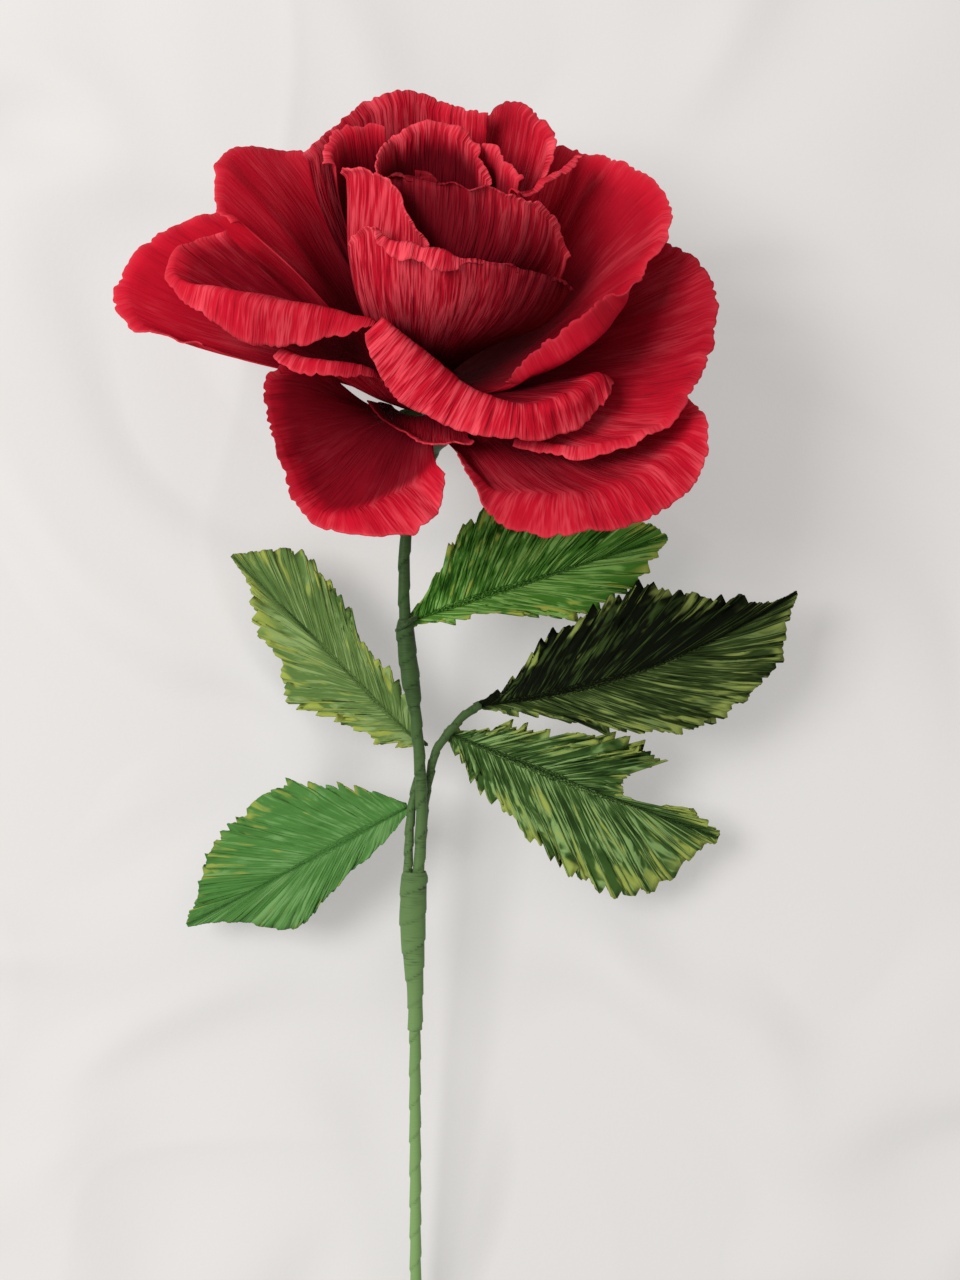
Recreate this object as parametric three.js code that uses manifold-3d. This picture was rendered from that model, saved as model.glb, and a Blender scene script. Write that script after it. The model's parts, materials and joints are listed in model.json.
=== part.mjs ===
// Crepe paper rose on a taped wire stem, lying on its back. Millimetres, +Z up, flower towards +Y.
import * as THREE from "three";
import { mergeVertices } from "three/addons/utils/BufferGeometryUtils.js";
import Module from "manifold-3d";

// Sheet thicknesses and clearances
const PETAL_SHEET = 0.4;
const LEAF_SHEET = 0.4;
const GAP = 0.3;

// A petal's lip does all its turning in this share of its width, next to the fold
const FOLD_SHARE = 0.35;

// Flower: its axis leans up from the floor, and every petal is glued round the same heart
const AXIS_RISE = 33;
const HEART = new THREE.Vector3(-12.9, 56.4, 40);
const WIRE_TOP = 16;

// Rolled strip at the centre of the flower
const ROLL = { low: 18, high: 54, first: 1.6, pitch: 0.95, turns: 2.3, flare: 0.5 };

// Tapered cup of tape under the petals, and the sepals glued below it
const CALYX = { from: 51.8, to: 40.6, rim: 8.6, neck: 1.75, bore: 1.15 };
const SEPAL_AZIMUTHS = [30, 90, 150, 225, 318];
const SEPAL = { length: 21, halfWidth: 3.4, ring: 9.2, height: -6.6, droop: 6 };

// Stem: florist's wire inside a sleeve of green tape
const WIRE_RADIUS = 0.8;
const TAPE_INNER = WIRE_RADIUS + GAP;
const TAPE_OUTER = 1.45;
const STEM_LINE = [
  [-12.9, 47.6, 34.3],
  [-13.8, 39.5, 30.4],
  [-17.4, 29, 28.4],
  [-18.4, 17, 27.2],
  [-18, 0, 25.4],
  [-15.4, -22, 23],
  [-14.4, -42, 20.8],
  [-15.6, -66, 18.3],
  [-16.2, -100, 14.6],
  [-16.3, -140, 10.2],
  [-16.4, -185, 5],
  [-16.5, -222, 2.1],
  [-16.5, -238, 1.75],
  [-16.5, -257, 1.75],
];

// Rows along the wire and the tape; the first ones crowd into a share of the length at the neck
const WIRE_ROWS = { all: 26, neck: 12, share: 0.25 };
const TAPE_ROWS = { all: 20, neck: 7, share: 0.2 };

const UPPER_BINDING = { from: 4.6, to: -15, inner: TAPE_OUTER + GAP, outer: 2.15 };
const LOWER_BINDING = { from: -57.5, to: -96, wide: 3.15, high: 2.1, end: 1.95, wall: 0.88, shift: 1 };
const SPRAY_RADIUS = 1.05;
const SPRAY_LINE = [
  [-15, -56.5, 16.1],
  [-14.2, -48, 17],
  [-13.6, -40, 17.9],
  [-12.3, -33, 19],
  [-10.9, -27.5, 20.2],
  [-7.6, -22.6, 21],
  [-3.4, -18.2, 20.5],
  [0.4, -15.9, 19.8],
];
const SIDE_STALK = { radius: 0.75, swell: 0.3 };
const SIDE_LINE = [
  [-15.2, -33.5, 18.7],
  [-16.2, -38, 18.9],
  [-16.95, -42, 19.2],
  [-17.4, -47, 19.4],
  [-17.7, -54, 19.3],
  [-17.9, -60, 18.8],
  [-17.8, -66, 18.2],
];

// Leaves. base, tip: ends of the midrib; bow: how far its middle lies to the left of the straight
// line; arch: how far it rises; fold: fall of the halves beside it; rows: share of the length and
// the half widths to the left and to the right; stalk: where its rib wire starts.
const RIB_RADIUS = 0.5;
const LEAVES = [
  { name: "upper_right", base: [-15.2, 5, 24.6], tip: [47, 26, 12], bow: 0, arch: 3, fold: 0.12,
    stalk: [-15.4, 4.8, 23.6], rows: [
      [0, 1, 1], [0.1, 7, 2.8], [0.2, 13, 4.5], [0.33, 20, 6.5], [0.5, 23, 9.5], [0.67, 21, 12.8],
      [0.85, 12, 8.5], [1, 0.6, 0.6],
    ] },
  { name: "upper_left", base: [-16.5, -24, 19.4], tip: [-62.3, 21.3, 12], bow: 0, arch: 2, fold: 0.1,
    stalk: [-12.8, -26.2, 18.6], rows: [
      [0, 1, 1], [0.1, 7, 5.5], [0.22, 10, 7.5], [0.36, 13, 8], [0.48, 16, 9.5], [0.6, 12, 12],
      [0.72, 9.5, 13.5], [0.86, 3, 12], [1, 0.5, 0.5],
    ] },
  { name: "lower_left", base: [-20.4, -42.6, 18.6], tip: [-74.4, -72.4, 7], bow: 0, arch: 3, fold: 0.15,
    stalk: [-18.9, -42.3, 17.8], rows: [
      [0, 1, 1.5], [0.06, 3, 7.5], [0.18, 6, 12.5], [0.35, 8.5, 19.5], [0.48, 11, 20.5], [0.62, 14, 18],
      [0.76, 8, 15.5], [0.88, 3, 8.5], [1, 0.5, 0.5],
    ] },
  { name: "lower_right", base: [1.4, -15.4, 19.6], tip: [78.2, 11.7, 20], bow: -5, arch: 4, fold: 0.12,
    stalk: [1.3, -15.4, 18.6], rows: [
      [0, 1, 1], [0.17, 8, 6], [0.3, 16.5, 11], [0.45, 19, 17], [0.6, 19.5, 20], [0.75, 11, 19],
      [0.88, 4, 14.5], [0.94, 1.6, 7], [1, 0.5, 0.5],
    ] },
  { name: "bitten", base: [-6.2, -23.6, 19.6], tip: [60.2, -50.1, 9], bow: 0, arch: 3, fold: 0.12,
    stalk: [-6, -24, 18.4], rows: [
      [0, 1, 1], [0.12, 5.5, 8], [0.3, 10, 14.5], [0.5, 14.5, 20.5], [0.65, 14.5, 23.5], [0.78, 11, 23],
      [0.9, 4.5, 15], [0.96, 2.5, 4], [1, 1.5, 1.5],
    ] },
];
const BITE = { x: 46.5, y: -36.4, along: 12.5, across: 4.8 };

const radians = THREE.MathUtils.degToRad;
const wire = () => ({ color: 0x8f9498, roughness: 0.35, metalness: 0.9 });
const paper = (color) => ({ color, roughness: 0.85, metalness: 0 });
const RED = 0xb3182f;
const LEAF_GREEN = 0x4f7a35;
const TAPE_GREEN = 0x5b7f4a;

// Petals, from the heart outwards. at: azimuth of the root (0 right, 90 underneath, 180 left,
// 270 on top of the lying flower); ring, foot: radius and height of the root; spread: half its
// width in degrees; lean: angle it leaves the root with. Each rim point gives azimuth, radius and
// height of the fold line, the lean there, and the width of the lip and its turn, outwards or, if
// less than 0, inwards.
const PETALS = [
  { name: "inner_back", at: 98, ring: 2.2, foot: 14, spread: 62, lean: 30, rim: [
    [4, 14, 51, 0, 2, 30], [40, 14, 57, 0, 3, 40], [81, 12, 60, 0, 3, 40], [125, 12, 57, 0, 2, 30],
    [176, 9.5, 56, 0, 2, 30], [194, 10, 53, 0, 2, 40],
  ] },
  { name: "inner_right", at: 20, ring: 3, foot: 13, spread: 26, lean: 30, rim: [
    [346, 21, 54, 5, 3, 60], [363, 18, 55, 5, 2, 30], [380, 18, 56, 5, 2, 30], [397, 17, 56, 5, 2, 20],
  ] },
  { name: "inner_left", at: 156, ring: 3, foot: 13, spread: 46, lean: 30, rim: [
    [120, 17, 59, 5, 2, 20], [136, 18.5, 59.5, 5, 2, 30], [152, 20, 58.5, 5, 3, 40],
    [167, 20, 57, 5, 3, 70], [180, 19, 55.5, 4, 3.5, 90],
  ] },
  { name: "inner_front", at: 286, ring: 3.8, foot: 12, spread: 46, lean: 38, rim: [
    [218, 8, 55, 0, 2, 100], [262, 11, 57, 0, 2, 120], [301, 19, 56, 0, 1.5, 60],
    [320, 26, 54, 0, 2, 30], [336, 30, 48, 0, 2, 30], [348, 32, 37, 0, 2, 10],
  ] },
  { name: "cup_back", at: 102, ring: 4.6, foot: 10, spread: 54, lean: 34, rim: [
    [54, 25, 60, 6, 2, 20], [77, 27, 59, 6, 3, 30], [99, 26, 62, 6, 4, 30], [129, 24, 59, 6, 4, 30],
    [163, 26, 54, 6, 3, 30],
  ] },
  { name: "cup_back_right", at: 48, ring: 5.2, foot: 9, spread: 38, lean: 38, rim: [
    [10, 27, 50, 14, 2, 20], [22, 30, 57, 14, 3, 40], [37, 30, 60, 14, 3, 40], [51, 31, 61, 14, 3, 30],
    [64, 31, 57, 14, 2, 20], [76, 31, 52, 14, 2, 10],
  ] },
  { name: "cup_left", at: 218, ring: 4.8, foot: 10, spread: 40, lean: 44, rim: [
    [197, 16.8, 54.5, -4, 2, 40], [210, 16.5, 56.5, -4, 3, 40], [228, 15.5, 57, -3, 2.5, 30],
    [247, 16, 56, -2, 2, 20], [262, 19, 52, -2, 1, 10], [275, 21, 45, -2, 1, 10],
  ] },
  { name: "cup_right", at: 350, ring: 3.2, foot: 9, spread: 10, lean: 34, rim: [
    [336, 21, 53, 8, 3.5, 110], [355, 25, 52, 10, 3, 90], [368, 30.5, 53, 10, 3, 90],
    [377, 36, 54, 10, 2.5, 80],
  ] },
  { name: "cup_front", at: 282, ring: 5.8, foot: 7, spread: 52, lean: 38, rim: [
    [225, 21, 43, 0, 2, 20], [243, 22, 48, 0, 2, 30], [257, 24, 47, 0, 4.5, 150],
    [270, 25, 46.5, 0, 5.5, 155], [284, 28, 45.5, 2, 5, 155], [294, 29.5, 45, 5, 2, 120],
    [307, 32, 43, 8, 2.2, 130], [320, 34, 40, 14, 2.2, 130], [338, 35, 33, 18, 2, 110],
  ] },
  { name: "upper_left", at: 158, ring: 6.6, foot: 6, spread: 38, lean: 42, rim: [
    [137, 29, 51, 45, 2, 10], [146, 38, 51, 50, 3, 20], [157, 44, 53, 50, 3, 30],
    [166, 45, 52, 50, 3, 30], [176, 44, 47, 50, 3, 30], [184, 40, 44, 50, 3, 40],
  ] },
  { name: "upper_right", at: 345, ring: 6.8, foot: 5, spread: 46, lean: 66, rim: [
    [311, 29, 14, 45, 2, -20], [318, 41, 21.5, 50, 7, -75], [325, 47, 26.5, 50, 9, -80],
    [336.5, 46.7, 30.5, 50, 6.5, -70], [345, 48.5, 37.5, 50, 2.5, 20], [353, 52, 42.5, 50, 3, 40],
    [366, 52.5, 47, 48, 3, 20], [382, 44.5, 50, 40, 3, 20], [397, 37, 52, 35, 2, 10],
  ] },
  { name: "left_boat", at: 207, ring: 7.2, foot: 4, spread: 44, lean: 48, rim: [
    [175, 44, 39, 40, 1, 15], [179, 54, 36.5, 48, 1, 15], [184, 55, 32, 60, 3.5, 70],
    [194, 46, 33, 70, 9.5, 95], [205, 38, 32.5, 75, 13, 100], [216, 31, 31, 75, 10.5, 95],
    [227, 26, 29.5, 70, 6.5, 85], [237, 23.5, 28, 65, 4, 70], [244, 22.5, 27, 62, 2, 50],
  ] },
  { name: "front_lip", at: 280, ring: 7.6, foot: 2, spread: 50, lean: 58, rim: [
    [252, 24.5, 31, 60, 7, 85], [262, 25, 27, 65, 11, 95], [271, 26, 24, 70, 14, 105],
    [289, 30, 17, 73, 12, 105], [305, 37, 13, 75, 9, 90], [318, 43, 15, 73, 10, 100],
    [328, 44, 17, 65, 8, 90], [336, 44, 14, 60, 3, 60],
  ] },
  { name: "right_outer", at: 336, ring: 8, foot: 1, spread: 42, lean: 56, rim: [
    [308, 34, 4, 80, 4, 60], [319, 48, 4, 78, 4, 50], [331, 59, 8, 70, 3, 30], [340, 63, 16, 63, 3, 20],
    [350, 64, 27, 60, 3, 20], [359, 60, 33, 60, 3, 20], [366, 52, 36, 60, 2, 10],
  ] },
  { name: "left_under", at: 232, ring: 8, foot: 1, spread: 27, lean: 60, rim: [
    [206, 34, 18.5, 60, 4, 50], [213, 32.5, 18.7, 60, 5, 70], [224, 29.5, 19, 60, 5, 75],
    [236, 26, 18.5, 60, 4, 70], [248, 22, 15, 60, 2, 40],
  ] },
  { name: "far_left", at: 176, ring: 7.8, foot: 1, spread: 28, lean: 56, rim: [
    [160, 48, 40, 62, 2, 10], [169, 60, 35, 62, 3, 30], [178, 67, 27, 62, 4, 30],
    [184, 63, 21, 62, 4, 30], [191, 50, 18, 62, 2, 10],
  ] },
  { name: "front_under", at: 258, ring: 8.5, foot: 0, spread: 56, lean: 66, rim: [
    [232, 20, 6.5, 60, 1, 10], [245, 23, 6.2, 60, 1, 10], [259, 25, 4.5, 60, 1.5, 15],
    [268, 27, 4, 60, 2, 20], [276, 29, 3, 60, 2, 20], [284, 30, 3, 60, 2, 20], [292, 30, 4, 60, 2, 20],
  ] },
  { name: "lower_left", at: 238, ring: 8.8, foot: -2, spread: 38, lean: 66, rim: [
    [208, 32, 16, 75, 2, 10], [211, 39, 13, 80, 2, 15], [226, 43, 3, 80, 2.5, 20],
    [238, 45.5, -6, 82, 4, 25], [246.4, 44.5, -8, 84, 6, 30], [252, 41.5, -7.5, 84, 11, 34],
    [260, 36.5, -6, 84, 13.5, 36], [268, 33, -4, 84, 10.5, 36], [276, 31, -1, 82, 5, 30],
  ] },
  { name: "lower_right", at: 316, ring: 9, foot: -2, spread: 36, lean: 66, rim: [
    [286, 29, -1, 80, 2, 10], [291, 35, -2.5, 80, 4, 30], [295.7, 39.9, -4.7, 82, 8, 35],
    [305.7, 51.7, -2.7, 82, 12, 35], [318.8, 57.7, -1.7, 82, 12, 35], [331.3, 62.5, 0.8, 80, 9, 30],
    [338, 64.5, 5.5, 78, 4, 25], [344, 58, 10, 75, 2, 10],
  ] },
  { name: "back_left", at: 122, ring: 8.2, foot: 0, spread: 24, lean: 54, rim: [
    [96, 42, 15, 65, 2, 10], [104, 57, 18, 75, 3, 30], [120, 62, 20, 75, 3, 30], [134, 55, 20, 75, 3, 30],
    [143, 40, 16, 65, 2, 10],
  ] },
  { name: "back_right", at: 55, ring: 8.2, foot: 0, spread: 28, lean: 54, rim: [
    [20, 38, 16, 65, 2, 10], [34, 54, 20, 75, 3, 30], [54, 62, 20, 75, 3, 30], [74, 58, 18, 75, 3, 30],
    [82, 42, 15, 65, 2, 10],
  ] },
  { name: "back_middle", at: 90, ring: 9.2, foot: -3, spread: 32, lean: 62, rim: [
    [54, 32, 7, 80, 2, 10], [68, 42, 8, 85, 3, 20], [90, 45, 8, 88, 3, 20], [112, 42, 8, 85, 3, 20],
    [126, 32, 7, 80, 2, 10],
  ] },
];

const polar = (azimuth, radius, height) =>
  new THREE.Vector3(radius * Math.cos(azimuth), radius * Math.sin(azimuth), height);

// Smooth curve through rows of numbers, row i standing at knots[i].
function through(knots, rows) {
  const last = knots.length - 1;
  const slope = (i, c) => {
    const a = Math.max(i - 1, 0);
    const b = Math.min(i + 1, last);
    return (rows[b][c] - rows[a][c]) / (knots[b] - knots[a]);
  };
  return (s) => {
    let i = 0;
    while (i < last - 1 && s >= knots[i + 1]) i += 1;
    const d = knots[i + 1] - knots[i];
    const t = (s - knots[i]) / d;
    return rows[i].map(
      (_, c) =>
        (2 * t ** 3 - 3 * t ** 2 + 1) * rows[i][c] +
        (t ** 3 - 2 * t ** 2 + t) * d * slope(i, c) +
        (3 * t ** 2 - 2 * t ** 3) * rows[i + 1][c] +
        (t ** 3 - t ** 2) * d * slope(i + 1, c),
    );
  };
}

// A closed thin sheet: place(u, v) gives its middle surface for u from -1 to 1 and v from 0 to top.
function sheet(place, columns, rows, thickness) {
  const geometry = new THREE.BoxGeometry(2, 2, 2, columns, rows.length - 1, 1);
  const at = geometry.attributes.position;
  const top = rows[rows.length - 1];
  const step = 0.002;
  for (let i = 0; i < at.count; i += 1) {
    const u = at.getX(i);
    const v = rows[Math.round(((at.getY(i) + 1) / 2) * (rows.length - 1))];
    const across = place(Math.min(u + step, 1), v).sub(place(Math.max(u - step, -1), v));
    const along = place(u, Math.min(v + step, top)).sub(place(u, Math.max(v - step, 0)));
    const normal = across.cross(along).normalize();
    const point = place(u, v).addScaledVector(normal, (at.getZ(i) * thickness) / 2);
    at.setXYZ(i, point.x, point.y, point.z);
  }
  geometry.computeVertexNormals();
  return geometry;
}

// The middle surface of a petal: v 0 at the root, 1 at the fold of the rim, 2 at the cut edge.
function petalSurface(petal) {
  const points = petal.rim.map(([a, r, h]) => polar(radians(a), r, h));
  const knots = points.map(() => 0);
  for (let i = 1; i < knots.length; i += 1) {
    knots[i] = knots[i - 1] + points[i].distanceTo(points[i - 1]);
  }
  const rows = petal.rim.map(([, , , ...rest], i) => [...points[i].toArray(), ...rest]);
  const length = knots[knots.length - 1];
  const rim = through(knots, rows);
  const lean0 = radians(petal.lean);
  return (u, v) => {
    const s = ((u + 1) / 2) * length;
    const [x, y, z, lean, lip, roll] = rim(s);
    const fold = new THREE.Vector3(x, y, z);
    const before = new THREE.Vector3(...rim(Math.max(s - GAP, 0)));
    const after = new THREE.Vector3(...rim(Math.min(s + GAP, length)));
    const tangent = after.sub(before).normalize();
    const rootAzimuth = radians(petal.at + u * petal.spread);
    const root = polar(rootAzimuth, petal.ring, petal.foot);
    const reach = fold.distanceTo(root);
    const leave = polar(rootAzimuth, Math.sin(lean0), Math.cos(lean0));
    const arrive = polar(Math.atan2(y, x), Math.sin(radians(lean)), Math.cos(radians(lean)));
    if (v <= 1) {
      return new THREE.CubicBezierCurve3(
        root,
        root.clone().addScaledVector(leave, reach * 0.42),
        fold.clone().addScaledVector(arrive, -reach * 0.38),
        fold,
      ).getPoint(v);
    }
    const out = arrive.addScaledVector(tangent, -arrive.dot(tangent)).normalize();
    const under = tangent.cross(out);
    const width = Math.max(lip, 0.6);
    const turn = (Math.abs(roll) < 0.5 ? 0.01 : radians(roll)) / (FOLD_SHARE * width);
    const arc = turn * Math.min(v - 1, FOLD_SHARE) * width;
    const flat = Math.max(v - 1 - FOLD_SHARE, 0) * width;
    return fold
      .addScaledVector(out, Math.sin(arc) / turn + Math.cos(arc) * flat)
      .addScaledVector(under, (1 - Math.cos(arc)) / turn + Math.sin(arc) * flat);
  };
}

function mesh(name, geometry, finish) {
  const made = new THREE.Mesh(geometry, new THREE.MeshStandardMaterial(finish));
  made.name = name;
  return made;
}

// A geometry standing along +Y from 0 to 1 with its x and z in millimetres, bent along a curve.
// shape(t) gives the scale of x, the scale of z and a shift of x there; +x is to the left of the
// flower for a curve that runs down the stem.
function bend(geometry, curve, shape = () => [1, 1, 0]) {
  const at = geometry.attributes.position;
  const up = new THREE.Vector3(0, 0, 1);
  for (let i = 0; i < at.count; i += 1) {
    const t = THREE.MathUtils.clamp(at.getY(i), 0, 1);
    const tangent = curve.getTangentAt(t);
    const side = new THREE.Vector3().crossVectors(tangent, up).normalize();
    const rise = new THREE.Vector3().crossVectors(side, tangent);
    const [wide, high, shift] = shape(t);
    const point = curve
      .getPointAt(t)
      .addScaledVector(side, at.getX(i) * wide + shift)
      .addScaledVector(rise, at.getZ(i) * high);
    at.setXYZ(i, point.x, point.y, point.z);
  }
  geometry.computeVertexNormals();
  return geometry;
}

const curveOf = (line) => new THREE.CatmullRomCurve3(line.map((p) => new THREE.Vector3(...p)));

function straight(radius, steps, sides) {
  return new THREE.CylinderGeometry(radius, radius, 1, sides, steps).translate(0, 0.5, 0);
}

const rod = (curve, radius, steps, sides, shape) => bend(straight(radius, steps, sides), curve, shape);

// Crowds the rows of a geometry standing from 0 to 1 into its first share, where the neck bends.
function crowd(geometry, { all, neck, share }) {
  const at = geometry.attributes.position;
  const split = neck / all;
  for (let i = 0; i < at.count; i += 1) {
    const y = at.getY(i);
    const moved = y < split ? (y / split) * share : share + ((y - split) / (1 - split)) * (1 - share);
    at.setY(i, moved);
  }
  return geometry;
}

function tube(inner, outer, steps, sides) {
  const profile = [];
  for (let i = 0; i <= steps; i += 1) profile.push(new THREE.Vector2(outer, i / steps));
  for (let i = steps; i >= 0; i -= 1) profile.push(new THREE.Vector2(inner, i / steps));
  profile.push(profile[0].clone());
  return new THREE.LatheGeometry(profile, sides);
}

// A hollow sleeve along a curve; its profile runs up the outside and down the inside.
function sleeve(curve, inner, outer, steps, sides, shape) {
  return bend(tube(inner, outer, steps, sides), curve, shape);
}

// The stretch of a curve between two stations along Y.
function stretch(curve, from, to) {
  const station = (y) => {
    let low = 0;
    let high = 1;
    for (let i = 0; i < 40; i += 1) {
      const middle = (low + high) / 2;
      if (curve.getPointAt(middle).y > y) low = middle;
      else high = middle;
    }
    return low;
  };
  const a = station(from);
  const b = station(to);
  return {
    getPointAt: (t) => curve.getPointAt(a + (b - a) * t),
    getTangentAt: (t) => curve.getTangentAt(a + (b - a) * t),
  };
}

// A leaf blade: v runs along the midrib, u across it from the right edge to the left one.
function leafSurface({ base, tip, bow, arch, fold, rows }) {
  const start = new THREE.Vector3(...base);
  const run = new THREE.Vector3(...tip).sub(start);
  const left = new THREE.Vector3(-run.y, run.x, 0).normalize();
  const widths = through(rows.map((row) => row[0]), rows);
  return (u, v) => {
    const [, leftWidth, rightWidth] = widths(v);
    const reach = u > 0 ? u * leftWidth : u * rightWidth;
    const hump = 4 * v * (1 - v);
    const point = start.clone().addScaledVector(run, v).addScaledVector(left, bow * hump + reach);
    point.z += arch * hump - fold * Math.abs(reach);
    return point;
  };
}

const wasm = await Module();
wasm.setup();

function solidOf(geometry) {
  const points = new THREE.BufferGeometry();
  points.setAttribute("position", geometry.toNonIndexed().getAttribute("position"));
  const merged = mergeVertices(points, 1e-4);
  return new wasm.Manifold(
    new wasm.Mesh({
      numProp: 3,
      vertProperties: merged.attributes.position.array,
      triVerts: new Uint32Array(merged.index.array),
    }),
  );
}

function geometryOf(solid) {
  const { vertProperties, triVerts } = solid.getMesh();
  const geometry = new THREE.BufferGeometry();
  geometry.setAttribute("position", new THREE.BufferAttribute(vertProperties, 3));
  geometry.setIndex(new THREE.BufferAttribute(triVerts, 1));
  geometry.computeVertexNormals();
  return geometry;
}

const rose = new THREE.Group();
rose.name = "crepe_paper_rose";

// Flower head
const head = new THREE.Group();
head.position.copy(HEART);
head.rotation.x = -radians(90 - AXIS_RISE);
const BODY_ROWS = [0, 0.2, 0.4, 0.6, 0.8, 1];
for (const petal of PETALS) {
  const lipRows = petal.rim.some((point) => point[4] > 4) ? [1 + FOLD_SHARE / 2, 1 + FOLD_SHARE, 2] : [2];
  const columns = petal.rim.length > 4 ? 2 * petal.rim.length : 6;
  const geometry = sheet(petalSurface(petal), columns, [...BODY_ROWS, ...lipRows], PETAL_SHEET);
  head.add(mesh("petal_" + petal.name, geometry, paper(RED)));
}

// Centre: a strip rolled up around the end of the wire
const rollSurface = (u, v) => {
  const turn = ((u + 1) / 2) * ROLL.turns;
  const radius = (ROLL.first + ROLL.pitch * turn) * (0.8 + ROLL.flare * v);
  return polar(2 * Math.PI * turn, radius, ROLL.low + (ROLL.high - ROLL.low) * v);
};
head.add(mesh("centre_roll", sheet(rollSurface, 34, [0, 0.5, 1], PETAL_SHEET), paper(RED)));

// Sepals
SEPAL_AZIMUTHS.forEach((azimuth, i) => {
  const surface = (u, v) => {
    const side = u * SEPAL.halfWidth * Math.max(0.14, Math.sin(Math.PI * (0.2 + 0.78 * v)));
    const out = SEPAL.ring + SEPAL.length * v;
    const reach = polar(radians(azimuth), out, SEPAL.height - SEPAL.droop * v * v);
    return reach.addScaledVector(polar(radians(azimuth + 90), 1, 0), side);
  };
  const geometry = sheet(surface, 4, [0, 0.25, 0.5, 0.75, 1], LEAF_SHEET);
  head.add(mesh(`sepal_${i + 1}`, geometry, paper(LEAF_GREEN)));
});
rose.add(head);

// Stem
const axis = new THREE.Vector3(0, Math.cos(radians(AXIS_RISE)), Math.sin(radians(AXIS_RISE)));
const wireTop = HEART.clone().addScaledVector(axis, WIRE_TOP);
const stemCurve = curveOf([wireTop.toArray(), HEART.toArray(), ...STEM_LINE]);
const tapeCurve = stretch(stemCurve, CALYX.to - GAP, STEM_LINE[STEM_LINE.length - 1][1] + 2);
const wireRod = crowd(straight(WIRE_RADIUS, WIRE_ROWS.all, 8), WIRE_ROWS);
rose.add(mesh("stem_wire", bend(wireRod, stemCurve), wire()));
const tape = crowd(tube(TAPE_INNER, TAPE_OUTER, TAPE_ROWS.all, 8), TAPE_ROWS);
rose.add(mesh("stem_tape", bend(tape, tapeCurve), paper(TAPE_GREEN)));

// Calyx: the tape wound round the roots of the petals, tapering onto the stem
const calyxProfile = [
  [CALYX.bore, 1],
  [CALYX.bore, 0.6],
  [CALYX.bore, 0.3],
  [CALYX.bore, 0],
  [CALYX.rim, 0],
  [CALYX.rim, 0.1],
  [6.4, 0.3],
  [3.2, 0.6],
  [CALYX.neck, 1],
  [CALYX.bore, 1],
].map((p) => new THREE.Vector2(...p));
const calyx = bend(new THREE.LatheGeometry(calyxProfile, 20), stretch(stemCurve, CALYX.from, CALYX.to));
rose.add(mesh("calyx_tape", calyx, paper(TAPE_GREEN)));

// Tape wound thicker where the leaf wires and the spray of leaves join the stem
const upperCurve = stretch(stemCurve, UPPER_BINDING.from, UPPER_BINDING.to);
const upperBinding = sleeve(upperCurve, UPPER_BINDING.inner, UPPER_BINDING.outer, 6, 12);
rose.add(mesh("upper_binding", upperBinding, paper(TAPE_GREEN)));
const lowerCurve = stretch(stemCurve, LOWER_BINDING.from, LOWER_BINDING.to);
const lowerShape = (t) => {
  const ease = THREE.MathUtils.smoothstep(t, 0.25, 0.9);
  const wide = THREE.MathUtils.lerp(LOWER_BINDING.wide, LOWER_BINDING.end, ease);
  const high = THREE.MathUtils.lerp(LOWER_BINDING.high, LOWER_BINDING.end, ease);
  return [wide, high, LOWER_BINDING.shift * (1 - ease)];
};
const lowerBinding = sleeve(lowerCurve, LOWER_BINDING.wall, 1, 10, 14, lowerShape);
rose.add(mesh("lower_binding", lowerBinding, paper(TAPE_GREEN)));

// Stalks: one carries the spray of two leaves, the other carries the leaf below
rose.add(mesh("spray_stalk", rod(curveOf(SPRAY_LINE), SPRAY_RADIUS, 16, 8), paper(TAPE_GREEN)));
const swell = (t) => {
  const size = 1 + SIDE_STALK.swell * (1 - THREE.MathUtils.smoothstep(t, 0.4, 0.7));
  return [size, size, 0];
};
const sideStalk = rod(curveOf(SIDE_LINE), SIDE_STALK.radius, 10, 8, swell);
rose.add(mesh("side_stalk", sideStalk, paper(TAPE_GREEN)));

// Leaves
const LEAF_ROWS = [0, 0.06, 0.12, 0.2, 0.3, 0.4, 0.5, 0.6, 0.7, 0.8, 0.88, 0.94, 1];
const RIB_DROP = LEAF_SHEET / 2 + GAP + RIB_RADIUS;
for (const leaf of LEAVES) {
  const surface = leafSurface(leaf);
  let blade = sheet(surface, 6, LEAF_ROWS, LEAF_SHEET);
  if (leaf.name === "bitten") {
    const tool = new THREE.CylinderGeometry(1, 1, 60, 28).rotateX(Math.PI / 2);
    tool.scale(BITE.along, BITE.across, 1).translate(BITE.x, BITE.y, 10);
    blade = geometryOf(solidOf(blade).subtract(solidOf(tool)));
  }
  rose.add(mesh("leaf_" + leaf.name, blade, paper(LEAF_GREEN)));
  const ribLine = [0.08, 0.25, 0.5, 0.78].map((v) => {
    const point = surface(0, v);
    return [point.x, point.y, point.z - RIB_DROP];
  });
  const rib = rod(curveOf([leaf.stalk, ...ribLine]), RIB_RADIUS, 10, 6);
  rose.add(mesh("rib_" + leaf.name, rib, wire()));
}

// Origin at the middle of the underside of the bounding box
rose.updateMatrixWorld(true);
const box = new THREE.Box3().setFromObject(rose, true);
const middle = box.getCenter(new THREE.Vector3());
rose.position.set(-middle.x, -middle.y, -box.min.z);

export default rose;
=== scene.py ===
"""Crepe paper rose on a taped wire stem, lying on a pale cloth.

Shapes are laid out in millimetres and stored in metres.
"""

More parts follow.
